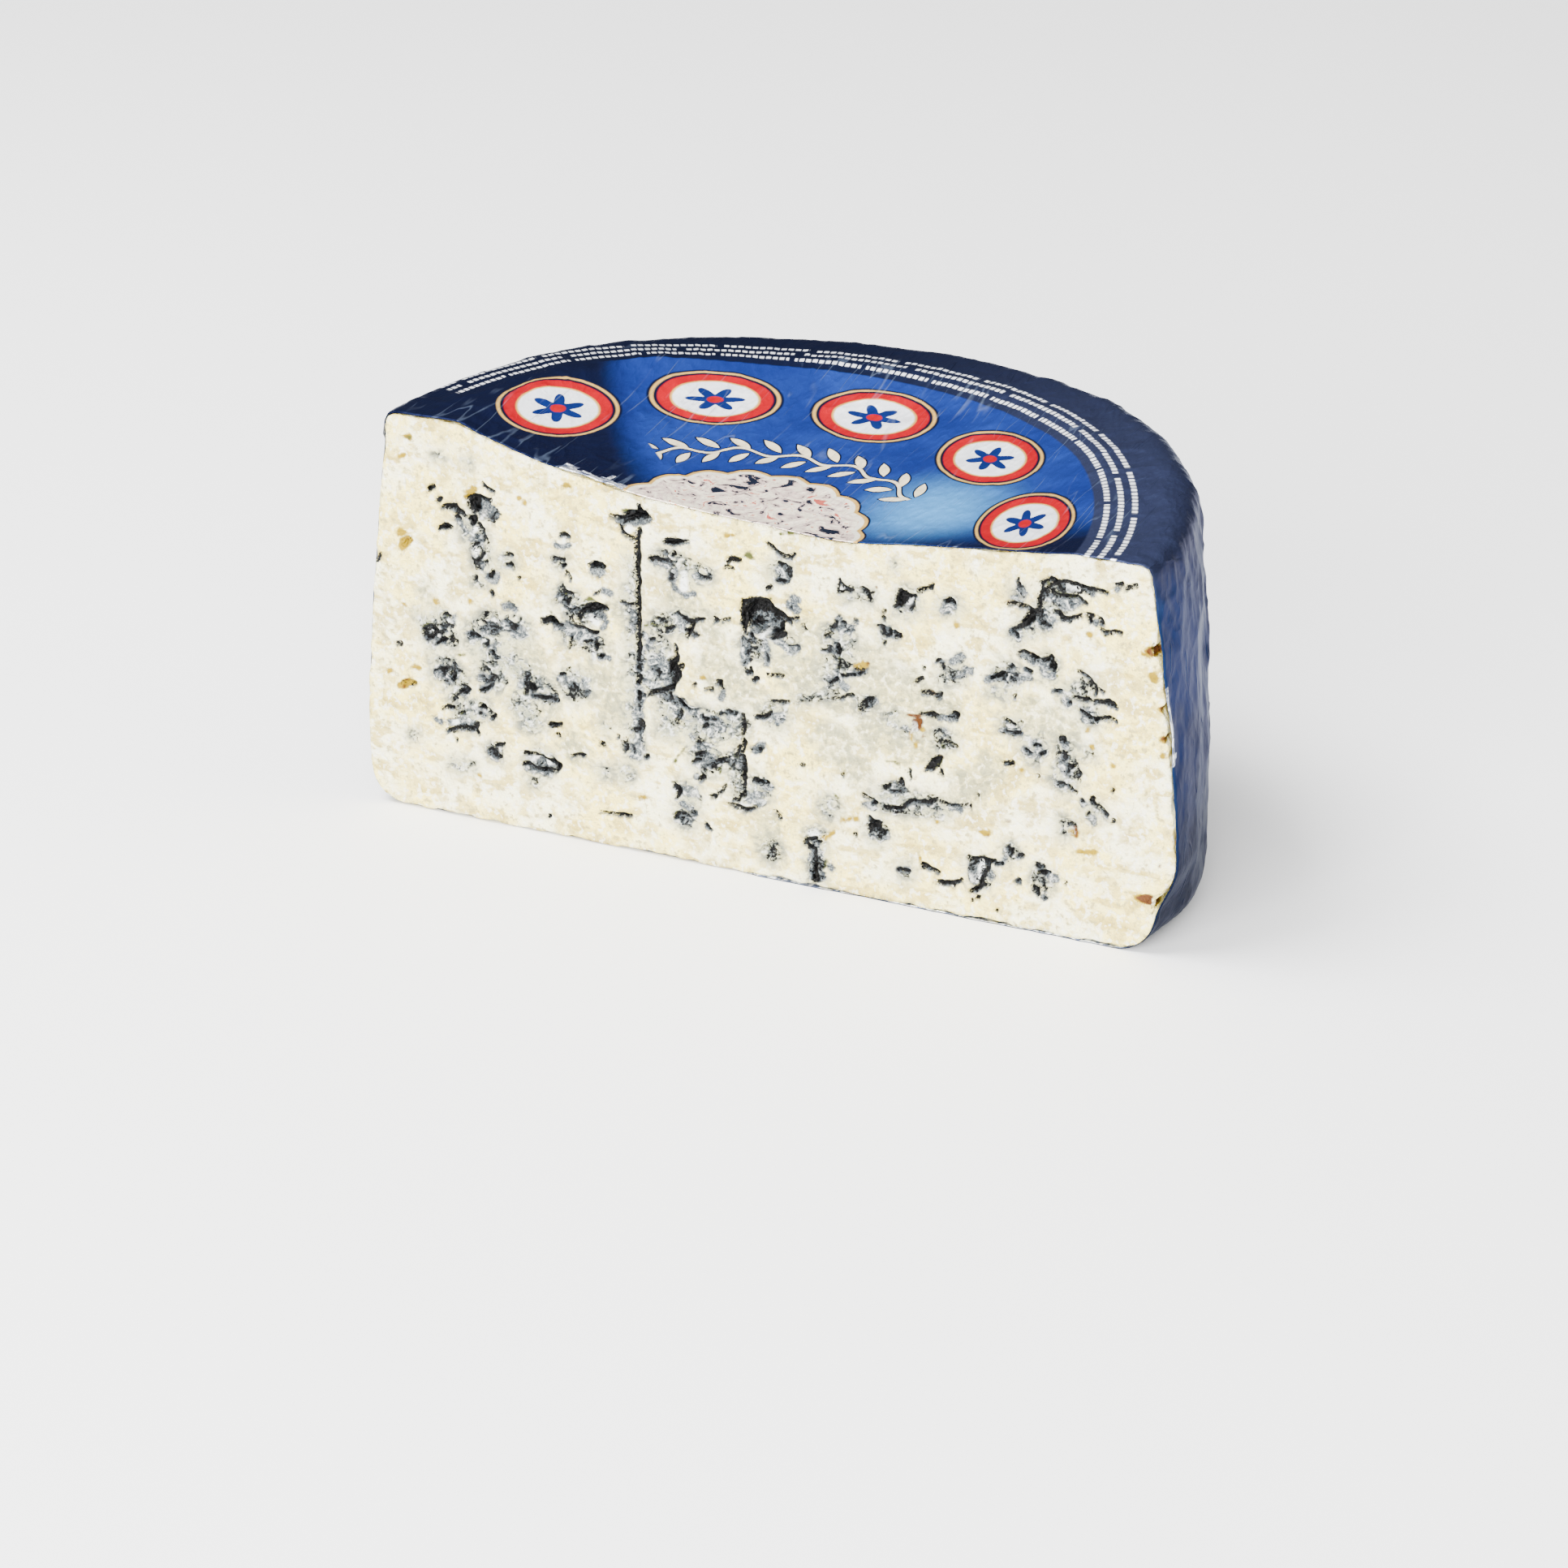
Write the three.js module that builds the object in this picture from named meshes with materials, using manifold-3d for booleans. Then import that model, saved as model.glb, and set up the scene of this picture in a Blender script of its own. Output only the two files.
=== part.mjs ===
// Half of a blue cheese wheel in its foil, cut side facing -Y, standing on its base.
// Millimetres, +Z up. The origin is the middle of the footprint, at the height of the base.
import * as THREE from 'three';
import { mergeVertices } from 'three/addons/utils/BufferGeometryUtils.js';
import Module from 'manifold-3d';

const wasm = await Module();
wasm.setup();

// Driving dimensions of the wheel, over its foil. The cut ends have slumped: they stand a little
// lower and wider than the uncut round, and the right end is tucked in above its base.
const wheelRadius = 100;
const roundRadius = 98.3;
const widestHeight = 24;
const nominalHeight = 95;
const rimHeightBack = 95.2;
const rimSlope = 1;
const endSink = { right: 5.7, left: 1.3, reach: 28 };
const rimRadiusEnds = 92.6;
const rimRadiusRound = 96.5;
const rimReach = 35;
const flareReach = 18;
const tuck = { depth: 4.5, reach: 9, from: 8, to: 23 };
const topCornerRadius = 7;
const baseCornerRadius = 10;

// The top sinks in the middle, and a little more in one pressed dent
const dishHeight = 83.8;
const dishFullRadius = 80;
const dishPower = 2.2;
const dentDepth = 1.7;
const dentWidth = 17;
const dentAt = [21, 6];

// Foil, and the clearance that it keeps to the cheese
const foilThickness = 0.6;
const foilClearance = 0.3;

// How finely the round forms are divided
const turnSegments = 84;
const cornerSteps = 4;
const sideSteps = 6;
const topSteps = 8;
const pocketSides = 8;
const pocketRings = 6;

// Needle channels that the cut runs along: x of the channel, its two ends in z
const channelRadius = 0.8;
const needleChannels = [
  { x: -29.5, from: 22, to: 78 },
  { x: -3, from: 17, to: 63 },
  { x: 14, from: 1.6, to: 11.5 },
];

// The larger pockets between the curds: centre on the cut face, width, height, tilt in degrees
const pockets = [
  { x: -31, z: 80, width: 9, height: 4.5, tilt: -8 },
  { x: -67.6, z: 75.6, width: 6.4, height: 6.6, tilt: 0 },
  { x: -76, z: 73.2, width: 6, height: 2.6, tilt: -25 },
  { x: -72.5, z: 70.5, width: 3.4, height: 4.4, tilt: 20 },
  { x: -69, z: 65, width: 2.8, height: 6.5, tilt: 15 },
  { x: -47, z: 71, width: 5, height: 3, tilt: 0 },
  { x: -39.6, z: 66.4, width: 4.4, height: 3, tilt: 0 },
  { x: -41, z: 57, width: 11, height: 4.8, tilt: -14 },
  { x: -46, z: 53, width: 9, height: 3, tilt: -35 },
  { x: -16.4, z: 67, width: 7, height: 4.4, tilt: -20 },
  { x: 2.6, z: 61.6, width: 10.5, height: 8.6, tilt: -12 },
  { x: 1.4, z: 53, width: 7.5, height: 7, tilt: 0 },
  { x: -20, z: 42, width: 4, height: 9, tilt: -12 },
  { x: 6, z: 77.6, width: 5.2, height: 3, tilt: 0 },
  { x: -83, z: 44, width: 6, height: 4.4, tilt: 10 },
  { x: -76, z: 24.4, width: 9, height: 4, tilt: -10 },
  { x: -54, z: 17.4, width: 8, height: 4, tilt: -10 },
  { x: 35.8, z: 71.4, width: 5, height: 4.6, tilt: 20 },
  { x: 64.6, z: 72.4, width: 8.4, height: 4, tilt: 35 },
  { x: 78.6, z: 82, width: 17, height: 2.6, tilt: -8 },
  { x: 76, z: 73.4, width: 8, height: 2.8, tilt: -10 },
  { x: 58.8, z: 58.4, width: 7.6, height: 3, tilt: -12 },
  { x: 84, z: 56, width: 11, height: 2.4, tilt: -18 },
  { x: 31, z: 25, width: 12, height: 2.6, tilt: -8 },
  { x: 54, z: 11.6, width: 4, height: 7.4, tilt: -20 },
  { x: -88.6, z: 65.4, width: 3, height: 3.4, tilt: 0 },
  { x: -89.4, z: 29.8, width: 4.4, height: 4, tilt: 0 },
  { x: -11, z: 20, width: 6, height: 4, tilt: 30 },
];
const pocketDepthShare = 0.55;

// Small pockets fill the mouldy band of the paste by a seeded rule
const smallPocketCount = 34;
const smallPocketWidth = [2.2, 4.2];
const mouldBand = { x: [-80, 88], z: [14, 72] };
const seed = 11;

const colours = { paste: 0xf1ead2, foil: 0x1f2f63 };

function mix(a, b, share) {
  return a + (b - a) * share;
}

function randomFrom(start) {
  let state = start;
  return () => {
    state = (state * 1664525 + 1013904223) % 4294967296;
    return state / 4294967296;
  };
}

// 1 at an end of the cut, falling off round the side. Angles are in degrees, 0 at the right end.
function nearEnd(angle, end, reach) {
  const away = (Math.abs(angle) - end) / reach;
  return Math.exp(-away * away);
}

function nearEnds(angle, reach) {
  return nearEnd(angle, 0, reach) + nearEnd(angle, 180, reach);
}

function angleOf(x, y) {
  return THREE.MathUtils.radToDeg(Math.atan2(y, x));
}

function rimHeight(angle) {
  const sloping = rimHeightBack - rimSlope * Math.cos(THREE.MathUtils.degToRad(angle));
  const sunkRight = endSink.right * nearEnd(angle, 0, endSink.reach);
  return sloping - sunkRight - endSink.left * nearEnd(angle, 180, endSink.reach);
}

function topHeight(x, y) {
  const radius = Math.hypot(x, y);
  const rise = Math.min(1, radius / dishFullRadius) ** dishPower;
  const reach = Math.hypot(x - dentAt[0], y - dentAt[1]) / dentWidth;
  return mix(dishHeight, rimHeight(angleOf(x, y)), rise) - dentDepth * Math.exp(-reach * reach);
}

// A straight drum takes the settled wheel's form: dished top, sloping rim, sides that draw in upwards
function settle(point) {
  const angle = angleOf(point.x, point.y);
  const height = (point.z * topHeight(point.x, point.y)) / nominalHeight;
  const sideRadius = mix(roundRadius, wheelRadius, nearEnds(angle, flareReach));
  const rimRadius = mix(rimRadiusRound, rimRadiusEnds, nearEnds(angle, rimReach));
  const above = Math.max(0, point.z - widestHeight) / (nominalHeight - widestHeight);
  const low = 1 - THREE.MathUtils.smoothstep(point.z, tuck.from, tuck.to);
  const tucked = tuck.depth * low * nearEnd(angle, 0, tuck.reach);
  const draw = (mix(sideRadius, rimRadius, above ** 1.3) - tucked) / wheelRadius;
  point.set(point.x * draw, point.y * draw, height);
}

// Half section of the drum, from the middle of the base to the middle of the top
function drumSection(inset) {
  const section = [new THREE.Vector2(0, inset)];
  const addCorner = (radius, middleHeight, fromAngle) => {
    for (let step = 0; step <= cornerSteps; step++) {
      const angle = fromAngle + (step / cornerSteps) * (Math.PI / 2);
      section.push(new THREE.Vector2(
        wheelRadius - radius + (radius - inset) * Math.cos(angle),
        middleHeight + (radius - inset) * Math.sin(angle),
      ));
    }
  };
  addCorner(baseCornerRadius, baseCornerRadius, -Math.PI / 2);
  const sideBottom = baseCornerRadius;
  const sideTop = nominalHeight - topCornerRadius;
  for (let step = 1; step < sideSteps; step++) {
    section.push(new THREE.Vector2(wheelRadius - inset, mix(sideBottom, sideTop, step / sideSteps)));
  }
  addCorner(topCornerRadius, sideTop, 0);
  for (let step = 1; step <= topSteps; step++) {
    const radius = mix(wheelRadius - topCornerRadius, 0, step / topSteps);
    section.push(new THREE.Vector2(radius, nominalHeight - inset));
  }
  return section;
}

// A closed solid from any three.js geometry: shared corners merged, collapsed triangles dropped
function solidFrom(geometry) {
  geometry.deleteAttribute('normal');
  geometry.deleteAttribute('uv');
  const merged = mergeVertices(geometry, 1e-4);
  const corners = merged.index.array;
  const kept = [];
  for (let i = 0; i < corners.length; i += 3) {
    const [a, b, c] = corners.slice(i, i + 3);
    if (a !== b && b !== c && c !== a) kept.push(a, b, c);
  }
  return new wasm.Manifold(new wasm.Mesh({
    numProp: 3,
    vertProperties: new Float32Array(merged.attributes.position.array),
    triVerts: new Uint32Array(kept),
  }));
}

function wheelSolid(inset) {
  const drum = new THREE.LatheGeometry(drumSection(inset), turnSegments);
  drum.rotateX(Math.PI / 2);
  const places = drum.attributes.position;
  const point = new THREE.Vector3();
  for (let i = 0; i < places.count; i++) {
    point.fromBufferAttribute(places, i);
    settle(point);
    places.setXYZ(i, point.x, point.y, point.z);
  }
  return solidFrom(drum);
}

// The half of space behind the cut
function behindCut() {
  const size = 4 * wheelRadius;
  return solidFrom(new THREE.BoxGeometry(size, size, size).translate(0, size / 2, 0));
}

// An uneven hollow between curds, centred on the cut face
function pocketSolid({ x, z, width, height, tilt }, random) {
  const blob = new THREE.SphereGeometry(1, pocketSides, pocketRings);
  const merged = mergeVertices(blob.deleteAttribute('normal').deleteAttribute('uv'), 1e-4);
  const places = merged.attributes.position;
  for (let i = 0; i < places.count; i++) {
    const swell = mix(0.78, 1.18, random());
    places.setXYZ(i, places.getX(i) * swell, places.getY(i) * swell, places.getZ(i) * swell);
  }
  const depth = Math.max(width, height) * pocketDepthShare;
  merged.scale(width / 2, depth, height / 2);
  merged.rotateY(THREE.MathUtils.degToRad(-tilt));
  merged.translate(x, 0, z);
  return solidFrom(merged);
}

function channelSolid({ x, from, to }) {
  const groove = new THREE.CylinderGeometry(channelRadius, channelRadius, to - from, 8);
  groove.rotateX(Math.PI / 2);
  groove.translate(x, 0, (from + to) / 2);
  return solidFrom(groove);
}

function smallPockets(random) {
  const found = [];
  while (found.length < smallPocketCount) {
    const x = mix(...mouldBand.x, random());
    const z = mix(...mouldBand.z, random());
    const width = mix(...smallPocketWidth, random());
    const clear = [...pockets, ...found].every((other) => {
      return Math.hypot(other.x - x, other.z - z) > (other.width + width) / 2 + 1;
    });
    if (clear) found.push({ x, z, width, height: width * mix(0.5, 0.9, random()), tilt: mix(-60, 30, random()) });
  }
  return found;
}

function meshFrom(name, solid, material) {
  const { vertProperties, triVerts } = solid.getMesh();
  const geometry = new THREE.BufferGeometry();
  geometry.setAttribute('position', new THREE.BufferAttribute(vertProperties, 3));
  geometry.setIndex(new THREE.BufferAttribute(triVerts, 1));
  const mesh = new THREE.Mesh(geometry, material);
  mesh.name = name;
  return mesh;
}

function makeCheese() {
  const random = randomFrom(seed);
  let cheese = wheelSolid(foilThickness + foilClearance).intersect(behindCut());
  for (const pocket of [...pockets, ...smallPockets(random)]) {
    cheese = cheese.subtract(pocketSolid(pocket, random));
  }
  for (const channel of needleChannels) cheese = cheese.subtract(channelSolid(channel));
  const paste = new THREE.MeshStandardMaterial({ color: colours.paste, roughness: 0.5, metalness: 0 });
  return meshFrom('cheese', cheese, paste);
}

function makeFoil() {
  const skin = wheelSolid(0).subtract(wheelSolid(foilThickness)).intersect(behindCut());
  const foil = new THREE.MeshStandardMaterial({ color: colours.foil, roughness: 0.35, metalness: 0.3 });
  return meshFrom('foil_wrapper', skin, foil);
}

const cheeseHalf = new THREE.Group();
cheeseHalf.add(makeCheese(), makeFoil());
cheeseHalf.position.y = -roundRadius / 2;

export default cheeseHalf;
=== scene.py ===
# Half of a foil-wrapped blue cheese wheel, standing on its base with the cut side forward.
import math
from types import SimpleNamespace

import bpy
import numpy as np
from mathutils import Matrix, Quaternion, Vector, noise


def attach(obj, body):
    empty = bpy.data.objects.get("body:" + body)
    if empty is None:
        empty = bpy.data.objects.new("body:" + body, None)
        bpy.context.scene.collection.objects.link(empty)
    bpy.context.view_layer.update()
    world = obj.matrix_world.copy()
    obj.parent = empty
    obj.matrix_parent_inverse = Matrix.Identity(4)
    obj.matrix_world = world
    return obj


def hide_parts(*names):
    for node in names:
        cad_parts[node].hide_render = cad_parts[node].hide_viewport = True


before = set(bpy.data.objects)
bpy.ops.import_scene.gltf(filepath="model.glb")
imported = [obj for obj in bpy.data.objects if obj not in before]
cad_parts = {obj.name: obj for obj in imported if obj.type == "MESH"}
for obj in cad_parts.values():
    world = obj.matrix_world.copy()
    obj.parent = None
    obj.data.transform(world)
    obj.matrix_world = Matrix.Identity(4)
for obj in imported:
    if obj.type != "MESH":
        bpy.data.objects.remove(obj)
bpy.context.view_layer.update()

# A millimetre in the scene's metres, and how near counts as nothing, as on the cut, and as one point
MM = 0.001
TINY = 1e-9
ON_CUT = 1e-3
MERGE = 0.01 * MM

# The wheel's form in millimetres, with its axis at x = 0, y = 0 and the cut along y = 0
WHEEL_RADIUS = 100.0
ROUND_RADIUS = 98.3
AXIS_Y = -ROUND_RADIUS / 2
NOMINAL_HEIGHT = 95.0
WIDEST_HEIGHT = 24.0
RIM_HEIGHT_BACK = 95.2
RIM_SLOPE = 1.0
SINK_RIGHT = 5.7
SINK_LEFT = 1.3
SINK_REACH = 28.0
RIM_RADIUS_ENDS = 92.6
RIM_RADIUS_ROUND = 96.5
RIM_REACH = 35.0
LEAN_POWER = 1.3
FLARE_REACH = 18.0
TUCK_DEPTH = 4.5
TUCK_REACH = 9.0
TUCK_FROM = 8.0
TUCK_TO = 23.0
TOP_CORNER = 7.0
BASE_CORNER = 10.0
DISH_HEIGHT = 83.8
DISH_FULL_RADIUS = 80.0
DISH_POWER = 2.2
DENT_DEPTH = 1.7
DENT_WIDTH = 17.0
DENT_AT = (21.0, 6.0)
CORNER_POWER = 2
CORNER_SQUARE = 4.0
CORNER_REACH = 14.0
SIDE_TOP = NOMINAL_HEIGHT - TOP_CORNER
PASTE_INSET = 0.35
PASTE_DRAWN_IN = 0.9
FOIL_SKIN = 0.2

# How finely the paste is divided: the cut and the rings behind it, then twice again round the mould
FACE_COLUMNS = 196
FACE_ROWS = 92
BACK_RINGS = 18
CLOSER_AT_ENDS = 0.4
MOULD_MARGIN = 1.2
CRACK_MARGIN = 0.6

# How far out a mark is felt, how its edge wanders, how much wider each kind grows, and a crack's fringe
FAR = 6.0
WANDER = 0.35
WANDER_SIZE = 2.2
CRACK_GROWTH = 0.16
SLATE_GROWTH = 0.58
SPOT_GROWTH = 0.3
FRINGE_DROP = 0.5
FRINGE_SPREAD = 0.1

# The foil's rows from the middle of the base to the middle of the top, and its steps round the half turn
TURN_STEPS = 252
BASE_ROWS = 26
BASE_CORNER_ROWS = 8
SIDE_ROWS = 58
TOP_CORNER_ROWS = 8
TOP_ROWS = 76


def smooth(value, low, high):
    """0 below low, 1 above high, and an even rise between them"""
    share = np.clip((value - low) / (high - low), 0, 1)
    return share * share * (3 - 2 * share)


def hills(x, y, z, octaves):
    """Random hills about 1 apart, from about -1 to 1"""
    points = np.column_stack([x, y, z]).tolist()
    return np.array([noise.fractal(point, 1.0, 2.0, octaves) for point in points])


def rough(x, y, z, size, octaves, seed):
    """Random hills about size mm apart, from about -1 to 1"""
    return hills(x / size + seed, y / size - seed, z / size + 2 * seed, octaves)


def near_end(angle, end, reach):
    """1 where the turn is at end, falling away within reach degrees"""
    return np.exp(-(((np.abs(angle) - end) / reach) ** 2))


def near_ends(angle, reach):
    return near_end(angle, 0, reach) + near_end(angle, 180, reach)


def rim_height(angle):
    sloping = RIM_HEIGHT_BACK - RIM_SLOPE * np.cos(np.radians(angle))
    right = SINK_RIGHT * near_end(angle, 0, SINK_REACH)
    left = SINK_LEFT * near_end(angle, 180, SINK_REACH)
    return sloping - right - left


def top_height(x, y):
    angle = np.degrees(np.arctan2(y, x))
    rise = np.minimum(1, np.hypot(x, y) / DISH_FULL_RADIUS) ** DISH_POWER
    dent = np.exp(-((x - DENT_AT[0]) ** 2 + (y - DENT_AT[1]) ** 2) / DENT_WIDTH**2)
    return DISH_HEIGHT + (rim_height(angle) - DISH_HEIGHT) * rise - DENT_DEPTH * dent


def square_corner(x, y, z):
    """The rim's round corner is squarer where the knife went through it"""
    away = np.maximum(np.hypot(x, y), TINY)
    power = CORNER_POWER + CORNER_SQUARE * near_ends(np.degrees(np.arctan2(y, x)), CORNER_REACH)
    across = np.clip(away - (WHEEL_RADIUS - TOP_CORNER), 0, TOP_CORNER)
    up = np.clip(z - SIDE_TOP, 0, TOP_CORNER)
    slope = np.maximum(np.hypot(across, up), TINY)
    grow = ((across / slope) ** power + (up / slope) ** power + TINY) ** (-1 / power) - 1
    out = 1 + across * grow / away
    return x * out, y * out, z + up * grow


def settle(x, y, z):
    """A straight drum takes the settled wheel's form, as the solids do"""
    x, y, z = square_corner(x, y, z)
    angle = np.degrees(np.arctan2(y, x))
    side = ROUND_RADIUS + (WHEEL_RADIUS - ROUND_RADIUS) * near_ends(angle, FLARE_REACH)
    rim = RIM_RADIUS_ROUND + (RIM_RADIUS_ENDS - RIM_RADIUS_ROUND) * near_ends(angle, RIM_REACH)
    above = np.maximum(0, z - WIDEST_HEIGHT) / (NOMINAL_HEIGHT - WIDEST_HEIGHT)
    tucked = TUCK_DEPTH * (1 - smooth(z, TUCK_FROM, TUCK_TO)) * near_end(angle, 0, TUCK_REACH)
    draw = (side + (rim - side) * above**LEAN_POWER - tucked) / WHEEL_RADIUS
    return x * draw, y * draw, z * top_height(x, y) / NOMINAL_HEIGHT


def drum_floor(radius, inset):
    """Height of the straight drum's base at a radius, with its rounded corner"""
    over = np.clip(radius - (WHEEL_RADIUS - BASE_CORNER), 0, BASE_CORNER - inset)
    return BASE_CORNER - np.sqrt((BASE_CORNER - inset) ** 2 - over**2)


def drum_top(radius, inset):
    over = np.clip(radius - (WHEEL_RADIUS - TOP_CORNER), 0, TOP_CORNER - inset)
    return SIDE_TOP + np.sqrt((TOP_CORNER - inset) ** 2 - over**2)


def read_places(items, name):
    """The places of all vertices or faces, as rows of x, y and z"""
    places = np.empty(len(items) * 3)
    items.foreach_get(name, places)
    return places.reshape(-1, 3).T


def move_points(piece, x, y, z):
    """Vertices take places given in mm, with the wheel's axis at 0"""
    places = np.column_stack([x, y + AXIS_Y, z]) * MM
    piece.data.vertices.foreach_set("co", places.ravel())
    piece.data.update()


def note(piece, name, values):
    """Keeps one number for each vertex, for the material to read"""
    field = piece.data.attributes.new(name, "FLOAT", "POINT")
    field.data.foreach_set("value", values.astype(np.float32))


def edit(piece):
    bpy.ops.object.mode_set(mode="OBJECT")
    bpy.ops.object.select_all(action="DESELECT")
    piece.select_set(True)
    bpy.context.view_layer.objects.active = piece
    bpy.ops.object.mode_set(mode="EDIT")


def leave_edit():
    bpy.ops.object.mode_set(mode="OBJECT")


# Marks on the cut face. Places are x from the middle of the cut and z above the base, all in mm.
# A pocket: x, z, width, height, tilt in degrees, depth, and how much of its height is black from the top:
# dark mould with painted shadow under the overhang
POCKETS = [
    (-29.6, 80.3, 6.2, 2.6, 8, 3.0, 0.85), (-68.8, 75.5, 7.6, 5.2, -18, 3.2, 0.4),
    (1.6, 61.2, 10.6, 8.0, -20, 4.5, 0.5), (35.6, 71.4, 4.8, 4.6, 20, 3.0, 0.6),
    (-39.8, 66.8, 4.6, 2.2, 6, 2.0, 0.8), (-20.3, 75.7, 4.2, 1.7, 8, 1.8, 0.8),
    (-41.2, 56.3, 7.6, 2.5, 22, 2.2, 0.6), (-46.2, 50.4, 9.6, 3.2, -6, 1.4, 0.1),
    (-20.9, 45.0, 2.8, 6.4, 8, 2.0, 0.6), (-24.6, 45.6, 6.0, 6.6, 0, 0.7, 0.0),
    (-83.4, 43.7, 3.2, 3.0, 0, 1.2, 0.0), (-54.6, 17.2, 8.0, 2.9, -10, 1.4, 0.0),
    (-76.4, 22.8, 7.0, 2.4, 8, 1.0, 0.0), (64.2, 71.8, 3.6, 1.9, 42, 2.0, 0.8),
    (75.0, 80.6, 9.0, 1.8, -4, 1.4, 0.2), (43.0, 35.0, 4.4, 2.2, 40, 2.0, 0.6),
    (28.8, 17.6, 3.4, 3.6, -30, 2.2, 0.6), (53.6, 12.0, 3.6, 5.6, -14, 1.8, 0.0),
    (60.4, 58.2, 6.4, 2.2, 12, 1.2, 0.2), (-57.4, 34.9, 3.6, 2.2, -20, 1.6, 0.7),
    (-60.6, 48.4, 5.4, 2.6, -14, 1.2, 0.1), (38.8, 43.6, 2.2, 3.4, 0, 1.6, 0.0),
    (-18.6, 10.2, 4.4, 2.2, 0, 1.4, 0.3), (70.4, 62.2, 1.8, 3.0, -20, 1.4, 0.7),
    (-52.0, 52.0, 4.2, 2.0, 24, 1.8, 0.8), (-88.6, 64.4, 2.0, 3.4, -34, 1.0, 0.0),
    (-89.2, 30.0, 4.2, 1.8, 16, 1.0, 0.0), (67.5, 9.9, 1.4, 2.4, 24, 1.4, 0.6),
    (46.8, 7.6, 5.2, 1.2, 12, 1.4, 0.8), (-68.8, 43.8, 2.0, 2.0, 0, 1.0, 0.3),
    (76.3, 25.6, 1.4, 2.2, -18, 0.8, 0.0),
]
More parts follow.
